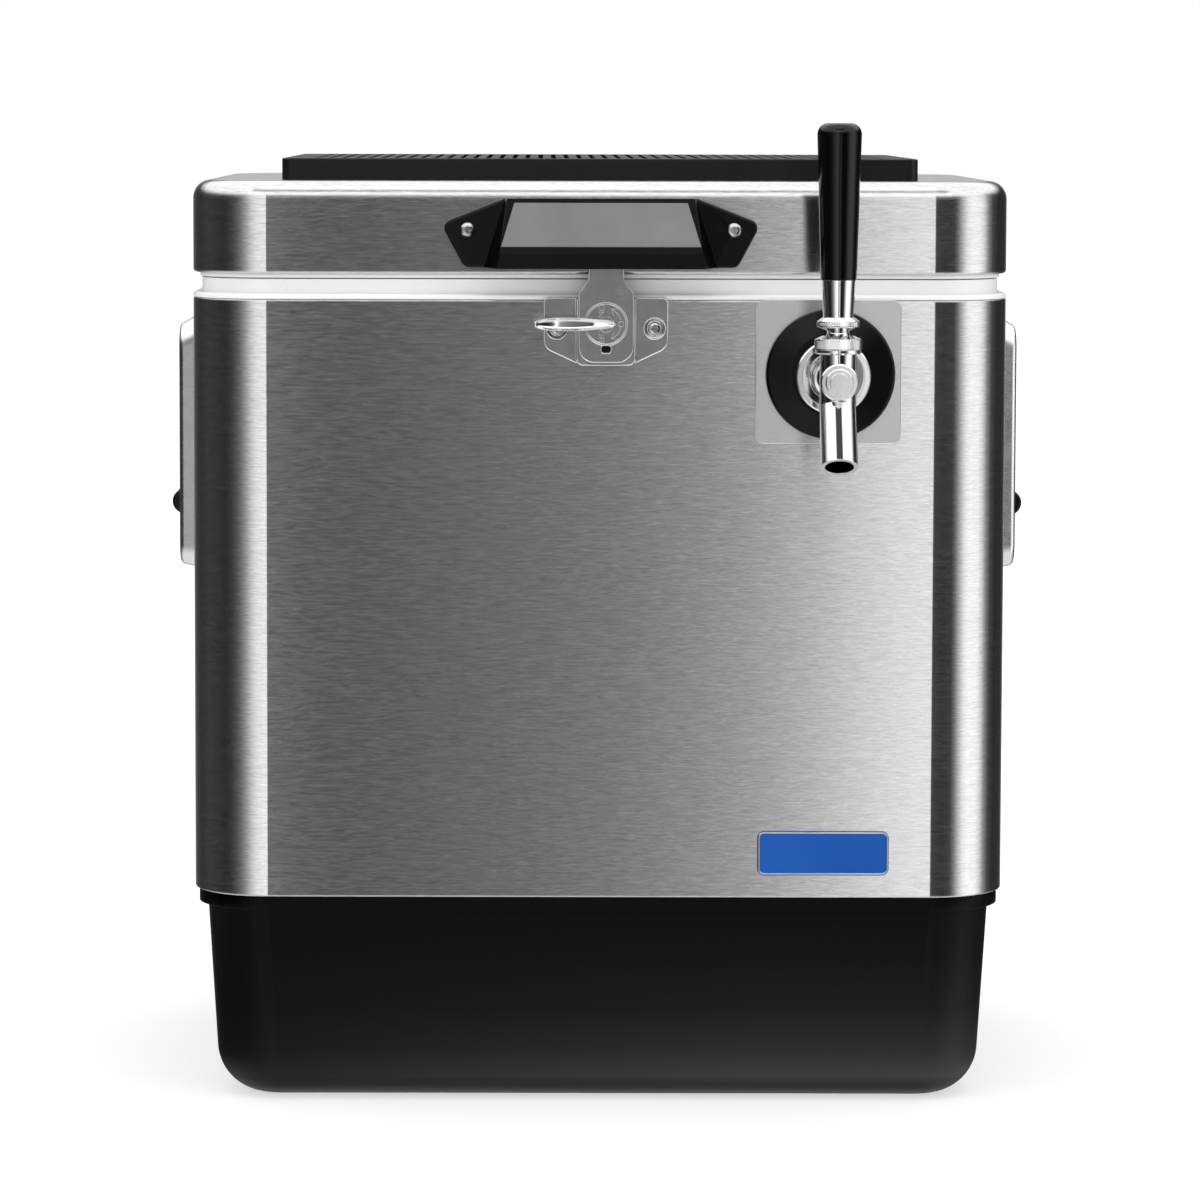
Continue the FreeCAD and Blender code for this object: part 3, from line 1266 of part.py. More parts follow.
def make_handle_ferrule():
    return upright(turned([
        (STUD_RADIUS + RUNNING, 0),
        (FERRULE_FOOT, 0),
        (FERRULE_TOP, FERRULE_HEIGHT),
        (STUD_RADIUS + RUNNING, FERRULE_HEIGHT),
    ]), FERRULE_Z)


def make_tap_handle():
    handle = turned([
        (0, 0),
        (HANDLE_FOOT, 0),
        (HANDLE_TOP, HANDLE_HEIGHT),
        (0, HANDLE_HEIGHT),
    ])
    handle = round_level(handle, HANDLE_HEIGHT, HANDLE_DOME)
    stud_top = BALL_Z + STUD_LENGTH - HANDLE_Z
    handle = handle.cut(rod(STUD_RADIUS + RUNNING, V(0, 0, -OVERRUN), Z_AXIS, OVERRUN + stud_top + GAP))
    return upright(handle, HANDLE_Z)


def make_valve_shaft():
    """The rod that the lever's tongue slides, with a slotted block on it."""
    back = SEAT_BACK_OUT - WASHER_THICKNESS - GAP
    shaft = rod(SHAFT_RADIUS, V(0, 0, back), Z_AXIS, SHAFT_FRONT_OUT - back)
    middle = V(0, 0, FAUCET_AXIS_OUT - SHAFT_BLOCK_LENGTH / 2)
    shaft = shaft.fuse(rod(SHAFT_BLOCK, middle, Z_AXIS, SHAFT_BLOCK_LENGTH))
    slot_half = TONGUE_BALL + SHAFT_SLACK
    slot = block(-slot_half, slot_half, -slot_half, SHAFT_BLOCK + OVERRUN,
                 FAUCET_AXIS_OUT - slot_half, FAUCET_AXIS_OUT + slot_half)
    return on_tap(shaft.cut(slot).removeSplitter())


def make_seat_washer():
    back = SEAT_BACK_OUT - WASHER_THICKNESS - GAP
    washer = rod(WASHER_RADIUS, V(0, 0, back), Z_AXIS, WASHER_THICKNESS)
    return on_tap(washer.cut(rod(SHAFT_RADIUS, V(0, 0, 0), Z_AXIS, BODY_DEPTH)))


# Rear inlet

def make_inlet_bulkhead():
    thread_end = -CAVITY_INSET - SHANK_THREAD_INSIDE
    tail_end = thread_end - TAIL_LENGTH
    return on_back(turned([
        (SHANK_BORE, tail_end),
        (TAIL_RADIUS, tail_end),
        (TAIL_RADIUS, thread_end),
        (SHANK_RADIUS, thread_end),
        (SHANK_RADIUS, 0),
        (INLET_FLANGE, 0),
        (INLET_FLANGE, INLET_FLANGE_THICKNESS),
        (INLET_STUB_RADIUS, INLET_FLANGE_THICKNESS),
        (INLET_STUB_RADIUS, INLET_FLANGE_THICKNESS + INLET_STUB_LENGTH),
        (SHANK_BORE, INLET_FLANGE_THICKNESS + INLET_STUB_LENGTH),
    ]), INLET_X, TAP_Z)


# Cooling coil

def coil_point(turn):
    """A place on the coil's centre line; turn counts whole turns from the start at the rear."""
    angle = math.pi / 2 + 2 * math.pi * turn
    x = COIL_X + COIL_RADIUS * math.cos(angle)
    return V(x, COIL_RADIUS * math.sin(angle), COIL_Z + COIL_PITCH * turn)


def coil_direction(turn):
    angle = math.pi / 2 + 2 * math.pi * turn
    rise = COIL_PITCH / (2 * math.pi)
    heading = V(-COIL_RADIUS * math.sin(angle), COIL_RADIUS * math.cos(angle), rise)
    heading.normalize()
    return heading


def arc_through(start, knee, end):
    """The arc that touches the two lines from start to knee and from knee to end."""
    back = start - knee
    ahead = end - knee
    half = back.getAngle(ahead) / 2
    weight = math.sin(half)
    middle = (start + knee * (2 * weight) + end) * (1 / (2 + 2 * weight))
    return Part.Arc(start, middle, end).toShape()


def biarc(start, start_heading, end, end_heading):
    """Two arcs that leave and arrive along the given headings and meet smoothly."""
    span = end - start
    both = start_heading + end_heading
    spread = 2 * (1 - start_heading.dot(end_heading))
    reach = (math.sqrt(span.dot(both) ** 2 + spread * span.dot(span)) - span.dot(both)) / spread
    knee_a = start + start_heading * reach
    knee_b = end - end_heading * reach
    joint = (knee_a + knee_b) * 0.5
    return [arc_through(start, knee_a, joint), arc_through(joint, knee_b, end)]


def coil_ends():
    """The two straight ends: the point where each leaves the turns, and where it stops."""
    low = coil_point(0)
    high = coil_point(COIL_TURNS + 0.5)
    start = low - coil_direction(0) * COIL_STRAIGHT
    end = high + coil_direction(COIL_TURNS + 0.5) * COIL_STRAIGHT
    return start, low, high, end


def make_beer_coil():
    start, low, high, end = coil_ends()
    edges = [Part.LineSegment(start, low).toShape()]
    quarters = 4 * COIL_TURNS + 2
    for k in range(quarters):
        a = k / 4
        b = (k + 1) / 4
        edges += biarc(coil_point(a), coil_direction(a), coil_point(b), coil_direction(b))
    edges.append(Part.LineSegment(high, end).toShape())
    return tube_along(Part.Wire(edges), TUBE_RADIUS)


def coil_gap():
    """The least gap between the coil's turns, measured on points of its centre line."""
    steps = 48
    points = [coil_point(k / steps) for k in range(steps * COIL_TURNS)]
    least = BODY_WIDTH
    for k in range(0, len(points), 7):
        for other in points[k + steps // 2:]:
            least = min(least, points[k].distanceToPoint(other))
    return least - 2 * TUBE_RADIUS


def outlet_route():
    """From the coil's upper end to the tap shank's tail."""
    end = coil_ends()[3]
    tail = FRONT + CAVITY_INSET + SHANK_THREAD_INSIDE + TAIL_LENGTH
    heading = coil_direction(COIL_TURNS + 0.5)
    reach = (TAP_X - end.x) / heading.x
    under = end + heading * reach
    return [end, under, V(TAP_X, tail + TUBE_TURN_IN, TAP_Z), V(TAP_X, tail, TAP_Z)]


def inlet_route():
    """From the coil's lower end to the rear bulkhead's tail."""
    start = coil_ends()[0]
    tail = BACK - CAVITY_INSET - SHANK_THREAD_INSIDE - TAIL_LENGTH
    heading = coil_direction(0) * -1
    reach = (INLET_X - start.x) / heading.x
    under = start + heading * reach
    return [start, under, V(INLET_X, tail - TUBE_TURN_IN, TAP_Z), V(INLET_X, tail, TAP_Z)]


def make_outlet_tube():
    return tube_along(bent_path(outlet_route(), TUBE_BEND), TUBE_RADIUS)


def make_inlet_tube():
    return tube_along(bent_path(inlet_route(), TUBE_BEND), TUBE_RADIUS)


# Hinges

def body_leaf_middle():
    return HINGE_Z - HINGE_LEAF_START - HINGE_BODY_DROP / 2


def lid_leaf_middle():
    return HINGE_Z + HINGE_LEAF_START + HINGE_LID_RISE / 2


def hinge_screw_places(z):
    """The screws of one row of leaves: (place along the back, height)."""
    middles = (-HINGE_SPACING / 2, HINGE_SPACING / 2)
    return [(x + hand * HINGE_SCREW_SPACING / 2, z) for x in middles for hand in (-1, 1)]


def hinge_leaf(x, start, rise, spans):
    """A leaf that starts away from the pin, with a web to its knuckles over each span."""
    low, high = sorted((start, start + rise))
    height = high - low
    outline = rectangle_corners(HINGE_LENGTH, height, LEAF_CORNER, 0, low + height / 2)
    leaf = prism(rounded_outline(outline), HINGE_SHEET)
    web_low, web_high = sorted((0, start + rise / 4))
    for a, b in spans:
        leaf = leaf.fuse(block(a, b, web_low, web_high, 0, HINGE_SHEET))
        leaf = leaf.fuse(rod(HINGE_KNUCKLE, V(a, 0, HINGE_OUT), X_AXIS, b - a))
    leaf = leaf.cut(rod(HINGE_PIN + RUNNING, V(-HINGE_LENGTH, 0, HINGE_OUT), X_AXIS, 2 * HINGE_LENGTH))
    for hand in (-1, 1):
        at = V(hand * HINGE_SCREW_SPACING / 2, low + height / 2, -OVERRUN)
        leaf = leaf.cut(rod(SCREW_SHANK + LOOSE, at, Z_AXIS, 3 * OVERRUN))
    return on_back(leaf.removeSplitter(), x, HINGE_Z)


def make_body_leaf(side):
    half = HINGE_LENGTH / 6
    return hinge_leaf(side * HINGE_SPACING / 2, -HINGE_LEAF_START, -HINGE_BODY_DROP, [(-half, half)])


def make_lid_leaf(side):
    inner = HINGE_LENGTH / 6 + HINGE_KNUCKLE_GAP
    outer = HINGE_LENGTH / 2
    spans = [(-outer, -inner), (inner, outer)]
    return hinge_leaf(side * HINGE_SPACING / 2, HINGE_LEAF_START, HINGE_LID_RISE, spans)


def make_hinge_pin(side):
    length = HINGE_LENGTH + 2 * HINGE_KNUCKLE_GAP
    return rod(HINGE_PIN, V(side * HINGE_SPACING / 2 - length / 2, HINGE_Y, HINGE_Z), X_AXIS, length)


def hinge_screws(z):
    seat = moved(screw(), z=HINGE_SHEET)
    return Part.makeCompound([on_back(seat, x, height) for x, height in hinge_screw_places(z)])


PIECES = {
    "base_tub": make_base_tub,
    "body_wrap": make_body_wrap,
    "body_insulation": make_body_insulation,
    "liner": make_liner,
    "badge_plate": make_badge_plate,
    "drain_spout": make_drain_spout,
    "drain_nut": make_drain_nut,
    "drain_cap": make_drain_cap,
    "handle_pan_left": lambda: make_handle_pan(-1),
    "handle_pan_right": lambda: make_handle_pan(1),
    "handle_rivets": make_handle_rivets,
    "bail_left": lambda: make_bail(-1),
    "bail_right": lambda: make_bail(1),
    "bail_grip_left": lambda: make_bail_grip(-1),
    "bail_grip_right": lambda: make_bail_grip(1),
    "lid_pan": make_lid_pan,
    "lid_liner": make_lid_liner,
    "lid_foam": make_lid_foam,
    "lid_seal": make_lid_seal,
    "lid_grip": make_lid_grip,
    "grip_screws": make_grip_screws,
    "drip_tray": make_drip_tray,
    "drip_grille": make_drip_grille,
    "catch_plate": make_catch_plate,
    "catch_screws": make_catch_screws,
    "hasp_bracket": make_hasp_bracket,
    "hasp_pin": make_hasp_pin,
    "hasp_strap": make_hasp_strap,
    "latch_lever": make_latch_lever,
    "latch_cam": make_latch_cam,
    "faucet_plate": make_faucet_plate,
    "shank_flange": make_shank_flange,
    "shank": make_shank,
    "shank_lock_nut": lambda: on_tap(lock_nut()),
    "coupling_nut": make_coupling_nut,
    "faucet_body": make_faucet_body,
    "faucet_front_cap": make_faucet_front_cap,
    "faucet_bonnet": make_faucet_bonnet,
    "tap_lever": make_tap_lever,
    "lever_collar": make_lever_collar,
    "handle_ferrule": make_handle_ferrule,
    "tap_handle": make_tap_handle,
    "valve_shaft": make_valve_shaft,
    "seat_washer": make_seat_washer,
    "beer_coil": make_beer_coil,
    "outlet_tube": make_outlet_tube,
    "outlet_nut": lambda: on_tap(union_nut()),
    "inlet_bulkhead": make_inlet_bulkhead,
    "inlet_lock_nut": lambda: on_back(lock_nut(), INLET_X, TAP_Z),
    "inlet_tube": make_inlet_tube,
    "inlet_nut": lambda: on_back(union_nut(), INLET_X, TAP_Z),
    "hinge_body_leaf_left": lambda: make_body_leaf(-1),
    "hinge_body_leaf_right": lambda: make_body_leaf(1),
    "hinge_lid_leaf_left": lambda: make_lid_leaf(-1),
    "hinge_lid_leaf_right": lambda: make_lid_leaf(1),
    "hinge_pin_left": lambda: make_hinge_pin(-1),
    "hinge_pin_right": lambda: make_hinge_pin(1),
    "hinge_body_screws": lambda: hinge_screws(body_leaf_middle()),
    "hinge_lid_screws": lambda: hinge_screws(lid_leaf_middle()),
}

os.makedirs("parts", exist_ok=True)
for name, make in PIECES.items():
    shape = make()
    shape.exportStep(f"parts/{name}.step")
    print(name, "solids", len(shape.Solids), "valid", shape.isValid(), "volume", round(shape.Volume))
print("coil's least gap to itself", round(coil_gap(), 2))
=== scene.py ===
import bpy
import bmesh
import json
import math
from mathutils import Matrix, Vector


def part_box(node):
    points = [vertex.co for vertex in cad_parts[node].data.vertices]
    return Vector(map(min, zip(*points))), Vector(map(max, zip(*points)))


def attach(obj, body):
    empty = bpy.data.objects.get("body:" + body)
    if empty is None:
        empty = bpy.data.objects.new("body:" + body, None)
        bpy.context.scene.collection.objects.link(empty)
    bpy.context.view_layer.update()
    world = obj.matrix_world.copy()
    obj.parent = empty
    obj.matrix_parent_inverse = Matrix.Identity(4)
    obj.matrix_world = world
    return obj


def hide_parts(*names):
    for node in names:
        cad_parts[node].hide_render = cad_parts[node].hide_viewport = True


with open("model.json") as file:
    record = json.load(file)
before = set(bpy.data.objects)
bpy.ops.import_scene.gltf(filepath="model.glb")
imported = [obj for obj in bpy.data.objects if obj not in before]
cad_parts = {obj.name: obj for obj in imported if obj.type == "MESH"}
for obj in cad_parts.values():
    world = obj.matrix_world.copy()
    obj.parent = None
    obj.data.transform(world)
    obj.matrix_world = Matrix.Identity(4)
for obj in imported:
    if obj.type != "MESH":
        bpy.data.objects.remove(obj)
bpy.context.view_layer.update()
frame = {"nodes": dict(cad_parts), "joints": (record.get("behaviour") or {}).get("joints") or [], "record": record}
nodes = frame["nodes"]
scene = bpy.context.scene
scene.view_settings.view_transform = "Standard"

# Camera: in front of the cooler, a little above the lid's top, 2.6 m away.
camera_data = bpy.data.cameras.new("camera")
camera_data.lens = 139.98
camera_data.shift_x = 0.0450
camera_data.shift_y = -0.10
camera = bpy.data.objects.new("camera", camera_data)
camera.location = (-0.03206, -2.765, 0.56282)
camera.rotation_euler = (math.radians(85.437), math.radians(-0.12), math.radians(-0.032))
scene.collection.objects.link(camera)
scene.camera = camera


# Node helpers

class Tree:
    """Short hand for building a node tree."""

    def __init__(self, tree):
        self.tree = tree
        self.tree.nodes.clear()

    def put(self, node, socket, value):
        target = node.inputs[socket]
        if isinstance(value, bpy.types.NodeSocket):
            self.tree.links.new(value, target)
        else:
            target.default_value = value

    def add(self, kind, settings=None, sockets=None):
        node = self.tree.nodes.new(kind)
        for key, value in (settings or {}).items():
            setattr(node, key, value)
        for key, value in (sockets or {}).items():
            self.put(node, key, value)
        return node

    def math(self, operation, a, b=None, clamp=False):
        node = self.add("ShaderNodeMath", {"operation": operation, "use_clamp": clamp}, {0: a})
        if b is not None:
            self.put(node, 1, b)
        return node.outputs[0]

    def vector(self, operation, a, b=None):
        node = self.add("ShaderNodeVectorMath", {"operation": operation}, {0: a})
        if b is not None:
            self.put(node, 1, b)
        return node.outputs[0]

    def scaled(self, vector, factor):
        node = self.add("ShaderNodeVectorMath", {"operation": "SCALE"}, {0: vector, "Scale": factor})
        return node.outputs[0]

    def ramp(self, fac, stops):
        node = self.add("ShaderNodeValToRGB", None, {"Fac": fac})
        elements = node.color_ramp.elements
        while len(elements) < len(stops):
            elements.new(0.5)
        for element, (place, colour) in zip(elements, stops):
            element.position = place
            if isinstance(colour, (int, float)):
                colour = (colour, colour, colour)
            element.color = (*colour, 1.0)
        return node.outputs["Color"]

    def mix(self, fac, a, b):
        node = self.add("ShaderNodeMix", {"data_type": "RGBA"}, {0: fac, 6: a, 7: b})
        return node.outputs[2]

    def noise(self, vector, scale, detail=2.0, roughness=0.5):
        node = self.add("ShaderNodeTexNoise", None,
                        {"Vector": vector, "Scale": scale, "Detail": detail, "Roughness": roughness})
        return node.outputs["Fac"]

    def stretched(self, coordinates, scale):
        return self.vector("MULTIPLY", coordinates, scale)

    def remap(self, value, low, high, new_low, new_high):
        node = self.add("ShaderNodeMapRange", None, {
            "Value": value, "From Min": low, "From Max": high, "To Min": new_low, "To Max": new_high})
        return node.outputs["Result"]

    def bump(self, height, distance, strength=1.0, normal=None):
        node = self.add("ShaderNodeBump", None, {
            "Height": height, "Distance": distance, "Strength": strength})
        if normal is not None:
            self.put(node, "Normal", normal)
        return node.outputs["Normal"]


# Studio

# Brightness of the studio seen in reflections, by compass angle: 0 is the front, positive to the right.
LEFT_HALF = [
    (-180, 0.35), (-165, 0.20), (-150, 0.07), (-128, 0.04), (-105, 0.05), (-86, 0.03), (-70, 0.01),
    (-62, 0.02), (-54, 0.05), (-46, 0.13), (-40, 0.25), (-33, 0.48), (-26, 0.82), (-20, 1.05), (-13, 1.20),
    (-8, 1.25), (-5.0, 1.25), (-4.5, 0.02), (-3.5, 0.02), (-2.9, 0.05), (-2, 0.10), (-1, 0.15), (0, 0.17),
]
RIGHT_HALF = [
    (0, 0.17), (1, 0.22), (2, 0.31), (2.7, 0.40), (3.3, 0.51), (3.9, 0.72), (4.4, 1.20), (4.8, 1.60),
    (5.4, 1.60), (6.8, 0.30), (9, 0.08), (13, 0.02), (20, 0.01), (34, 0.03), (40, 0.20), (48, 0.70),
    (55, 1.20), (63, 1.40), (78, 1.35), (86, 1.00), (95, 0.35), (105, 0.08), (119, 0.03), (151, 0.04),
    (165, 0.20), (180, 0.35),
]
BRIGHTEST = 1.6
LOW_GAIN = 1.18
ABOVE = 1.6
SOFT_BOX = 2.0
FLAG_STOPS = [(0.0, 1.0), (0.70, 1.0), (0.74, 0.04), (0.85, 0.04), (0.89, 1.0), (1.0, 1.0)]
SOFT_BOX_WIDTH_STOPS = [(0.0, 1.0), (0.16, 1.0), (0.19, 0.0), (1.0, 0.0)]
WHITE = (1.0, 1.0, 1.0, 1.0)


def make_world():
    """White behind the cooler; reflections see soft strips with dark flags between them."""
    world = bpy.data.worlds.new("studio")
    world.use_nodes = True
    scene.world = world
    tree = Tree(world.node_tree)
    direction = tree.add("ShaderNodeTexCoord").outputs["Generated"]
    x, y, z = tree.add("ShaderNodeSeparateXYZ", None, {0: direction}).outputs
    turn = tree.math("ARCTAN2", x, tree.math("MULTIPLY", y, -1.0))
    share = tree.math("MULTIPLY", turn, 1 / math.pi)
    left = tree.ramp(tree.math("ADD", share, 1.0), [(1 + a / 180, v / BRIGHTEST) for a, v in LEFT_HALF])
    right = tree.ramp(share, [(a / 180, v / BRIGHTEST) for a, v in RIGHT_HALF])
    strips = tree.mix(tree.math("GREATER_THAN", share, 0.0), left, right)
    low = tree.remap(z, -0.16, 0.0, LOW_GAIN * BRIGHTEST, BRIGHTEST)
    strips = tree.scaled(strips, low)
    up = tree.remap(z, 0.30, 0.50, 0.0, 1.0)
    down = tree.remap(z, -0.35, -0.75, 0.0, 1.0)
    # A soft box above the front, with a dark flag across it.
    soft_box = tree.vector("MULTIPLY", tree.ramp(z, FLAG_STOPS), (SOFT_BOX, SOFT_BOX, SOFT_BOX))
    in_front = tree.ramp(tree.math("ABSOLUTE", share), SOFT_BOX_WIDTH_STOPS)
    above = tree.mix(in_front, (ABOVE, ABOVE, ABOVE, 1.0), soft_box)
    studio = tree.mix(up, strips, above)
    studio = tree.mix(down, studio, WHITE)
    path = tree.add("ShaderNodeLightPath")
    backdrop = tree.mix(path.outputs["Is Glossy Ray"], WHITE, studio)
    background = tree.add("ShaderNodeBackground", None, {"Color": backdrop, "Strength": 1.0})
    out = tree.add("ShaderNodeOutputWorld")
    tree.put(out, "Surface", background.outputs[0])


def area_light(name, place, target, width, height, power):
    data = bpy.data.lights.new(name, "AREA")
    data.shape = "RECTANGLE"
    data.size = width
    data.size_y = height
    data.energy = power
    lamp = bpy.data.objects.new(name, data)
    lamp.location = place
    lamp.rotation_euler = (Vector(target) - Vector(place)).to_track_quat("-Z", "Y").to_euler()
    lamp.visible_glossy = False
    scene.collection.objects.link(lamp)


FLOOR_HALF_SIZE = 30.0
FLOOR_COLOUR = (0.86, 0.86, 0.86, 1.0)
FLOOR_GLOW = 1.2
FLOOR_NEAR = 0.28
FLOOR_FAR = 0.60
FLOOR_GLOW_SHARE_NEAR = 0.50


def make_floor():
    """A pale floor that keeps the cooler's shadow near it and runs out into white."""
    bm = bmesh.new()
    bmesh.ops.create_grid(bm, x_segments=2, y_segments=2, size=FLOOR_HALF_SIZE)
    mesh = bpy.data.meshes.new("floor")
    bm.to_mesh(mesh)
    bm.free()
    floor = bpy.data.objects.new("floor", mesh)
    scene.collection.objects.link(floor)
    floor.visible_glossy = False
    material = bpy.data.materials.new("floor")
    material.use_nodes = True
    tree = Tree(material.node_tree)
    place = tree.add("ShaderNodeTexCoord").outputs["Object"]
    reach = tree.add("ShaderNodeVectorMath", {"operation": "LENGTH"}, {0: place}).outputs["Value"]
    far = tree.remap(reach, FLOOR_NEAR, FLOOR_FAR, FLOOR_GLOW_SHARE_NEAR, 1.0)
    diffuse = tree.add("ShaderNodeBsdfDiffuse", None, {"Color": FLOOR_COLOUR})
    glow = tree.add("ShaderNodeEmission", None, {"Color": WHITE, "Strength": FLOOR_GLOW})
    seen = tree.add("ShaderNodeMixShader", None, {0: far, 1: diffuse.outputs[0], 2: glow.outputs[0]})
    path = tree.add("ShaderNodeLightPath")
    looks = tree.math("ADD", path.outputs["Is Camera Ray"], path.outputs["Is Glossy Ray"])
    looks = tree.math("ADD", looks, path.outputs["Is Transmission Ray"], clamp=True)
    both = tree.add("ShaderNodeMixShader", None, {0: looks, 1: diffuse.outputs[0], 2: seen.outputs[0]})
    out = tree.add("ShaderNodeOutputMaterial")
    tree.put(out, "Surface", both.outputs[0])
    mesh.materials.append(material)


make_world()
area_light("light_top", (0.0, -0.5, 2.4), (0.0, 0.0, 0.3), 2.0, 1.6, 15.0)
area_light("light_left", (-1.9, -1.7, 1.1), (0.0, 0.0, 0.3), 0.9, 1.6, 7.0)
area_light("light_right", (2.0, -1.5, 1.1), (0.0, 0.0, 0.3), 0.9, 1.6, 9.0)
make_floor()


# Materials

def new_material(name, colour):
    material = bpy.data.materials.new(name)
    material.use_nodes = True
    material.diffuse_color = (*colour, 1.0)
    tree = Tree(material.node_tree)
    shader = tree.add("ShaderNodeBsdfPrincipled")
    out = tree.add("ShaderNodeOutputMaterial")
    tree.put(out, "Surface", shader.outputs[0])
    return material, tree, shader


def worn_edges(tree, radius):
    """The surface's direction with crisp edges softened over a small radius."""
    if radius == 0:
        return None
    return tree.add("ShaderNodeBevel", {"samples": 4}, {"Radius": radius}).outputs["Normal"]


def grain_vector(tree, along, across):
    """Coordinates for a horizontal grain: level on the walls, and along X on faces that look up."""
    coordinates = tree.add("ShaderNodeTexCoord")
    normal = tree.add("ShaderNodeSeparateXYZ", None, {0: coordinates.outputs["Normal"]})
    level = tree.math("GREATER_THAN", tree.math("ABSOLUTE", normal.outputs["Z"]), 0.8)
    walls = tree.stretched(coordinates.outputs["Object"], (along, along, across))
    tops = tree.stretched(coordinates.outputs["Object"], (along, across, along))
    return tree.mix(level, walls, tops), coordinates.outputs["Normal"]


def grain_tangent(tree, normal):
    """Across the grain: the way in which the highlights stretch."""
    flat = tree.vector("CROSS_PRODUCT", (0.0, 0.0, 1.0), normal)
    flat = tree.vector("ADD", flat, (0.01, 0.0, 0.0))
    flat = tree.add("ShaderNodeVectorTransform", {
        "vector_type": "VECTOR", "convert_from": "OBJECT", "convert_to": "WORLD"}, {0: flat}).outputs[0]
    return tree.vector("NORMALIZE", flat)


def brushed_steel(name, colour, roughness, anisotropy, grain=1.0, streak=0.10, edge=0.0008):
    material, tree, shader = new_material(name, colour)
    fine, normal = grain_vector(tree, 240.0 * grain, 2200.0 * grain)
    fine = tree.noise(fine, 1.0, 3.0, 0.65)
    broad = grain_vector(tree, 80.0 * grain, 850.0 * grain)[0]
    broad = tree.noise(broad, 1.0, 4.0, 0.65)
    both = tree.math("ADD", tree.math("MULTIPLY", fine, 0.55), tree.math("MULTIPLY", broad, 0.45))
    dark = tuple(c * (1 - streak) for c in colour)
    light = tuple(min(c * (1 + streak), 1.0) for c in colour)
    tree.put(shader, "Base Color", tree.ramp(both, [(0.30, dark), (0.70, light)]))
    tree.put(shader, "Metallic", 1.0)
    tree.put(shader, "Roughness", tree.remap(both, 0.3, 0.7, roughness * 0.88, roughness * 1.12))
    tree.put(shader, "Anisotropic", anisotropy)
    tree.put(shader, "Anisotropic Rotation", 0.25)
    tree.put(shader, "Tangent", grain_tangent(tree, normal))
    tree.put(shader, "Normal", tree.bump(both, 0.00003, 0.4, worn_edges(tree, edge)))
    return material


def polished_steel(name, colour, roughness, scratch=0.3, edge=0.0005):
    material, tree, shader = new_material(name, colour)
    coordinates = tree.add("ShaderNodeTexCoord").outputs["Object"]
    cloud = tree.noise(coordinates, 120.0, 3.0, 0.6)
    lines = tree.noise(tree.stretched(coordinates, (400.0, 400.0, 3000.0)), 1.0, 2.0, 0.6)
    both = tree.math("ADD", tree.math("MULTIPLY", cloud, 0.5), tree.math("MULTIPLY", lines, 0.5))
    dark = tuple(c * 0.94 for c in colour)
    tree.put(shader, "Base Color", tree.ramp(both, [(0.3, dark), (0.7, colour)]))
    tree.put(shader, "Metallic", 1.0)
    tree.put(shader, "Roughness", tree.remap(both, 0.3, 0.7, roughness * 0.7, roughness * 1.3))
    tree.put(shader, "Normal", tree.bump(lines, 0.00001, scratch, worn_edges(tree, edge)))
    return material


def moulded_plastic(name, colour, roughness, stipple, depth, specular=0.5, mottle=0.14, edge=0.0008):
    material, tree, shader = new_material(name, colour)
    coordinates = tree.add("ShaderNodeTexCoord").outputs["Object"]
    speck = tree.noise(coordinates, stipple, 2.0, 0.7)
    cloud = tree.noise(coordinates, 14.0, 3.0, 0.55)
    dark = tuple(c * (1 - mottle) for c in colour)
    light = tuple(min(c * (1 + mottle), 1.0) for c in colour)
    tree.put(shader, "Base Color", tree.ramp(cloud, [(0.35, dark), (0.65, light)]))
    wear = tree.math("ADD", tree.math("MULTIPLY", cloud, 0.5), tree.math("MULTIPLY", speck, 0.5))
    tree.put(shader, "Roughness", tree.remap(wear, 0.3, 0.7, roughness * 0.85, roughness * 1.15))
    tree.put(shader, "Specular IOR Level", specular)
    tree.put(shader, "Normal", tree.bump(speck, depth, 0.6, worn_edges(tree, edge)))
    return material


def tub_plastic():
    """Black moulded plastic with a painted highlight in its colour low down, near the floor, and painted shade
    towards its left side.
    """
    material, tree, shader = new_material("tub_black", (0.02, 0.02, 0.02))
    place = tree.add("ShaderNodeTexCoord").outputs["Object"]
    x, y, z = tree.add("ShaderNodeSeparateXYZ", None, {0: place}).outputs
    speck = tree.noise(place, 2600.0, 2.0, 0.7)
    # painted highlight: colour brighter just above the foot, where light from the floor reflects, and darker
    # higher up
    low = tree.ramp(tree.remap(z, 0.0, 0.12, 0.0, 1.0), [
        (0.0, 0.003), (0.06, 0.004), (0.12, 0.045), (0.26, 0.020), (0.45, 0.008), (0.70, 0.003),
        (1.0, 0.0008)])
    # painted shade: colour darker towards the left side
    side = tree.remap(x, -0.22, 0.10, 0.15, 1.0)
    tree.put(shader, "Base Color", tree.scaled(low, side))
    tree.put(shader, "Roughness", tree.remap(speck, 0.3, 0.7, 0.34, 0.46))
    tree.put(shader, "Specular IOR Level", 0.10)
    tree.put(shader, "Normal", tree.bump(speck, 0.00003, 0.6, worn_edges(tree, 0.0008)))
    return material


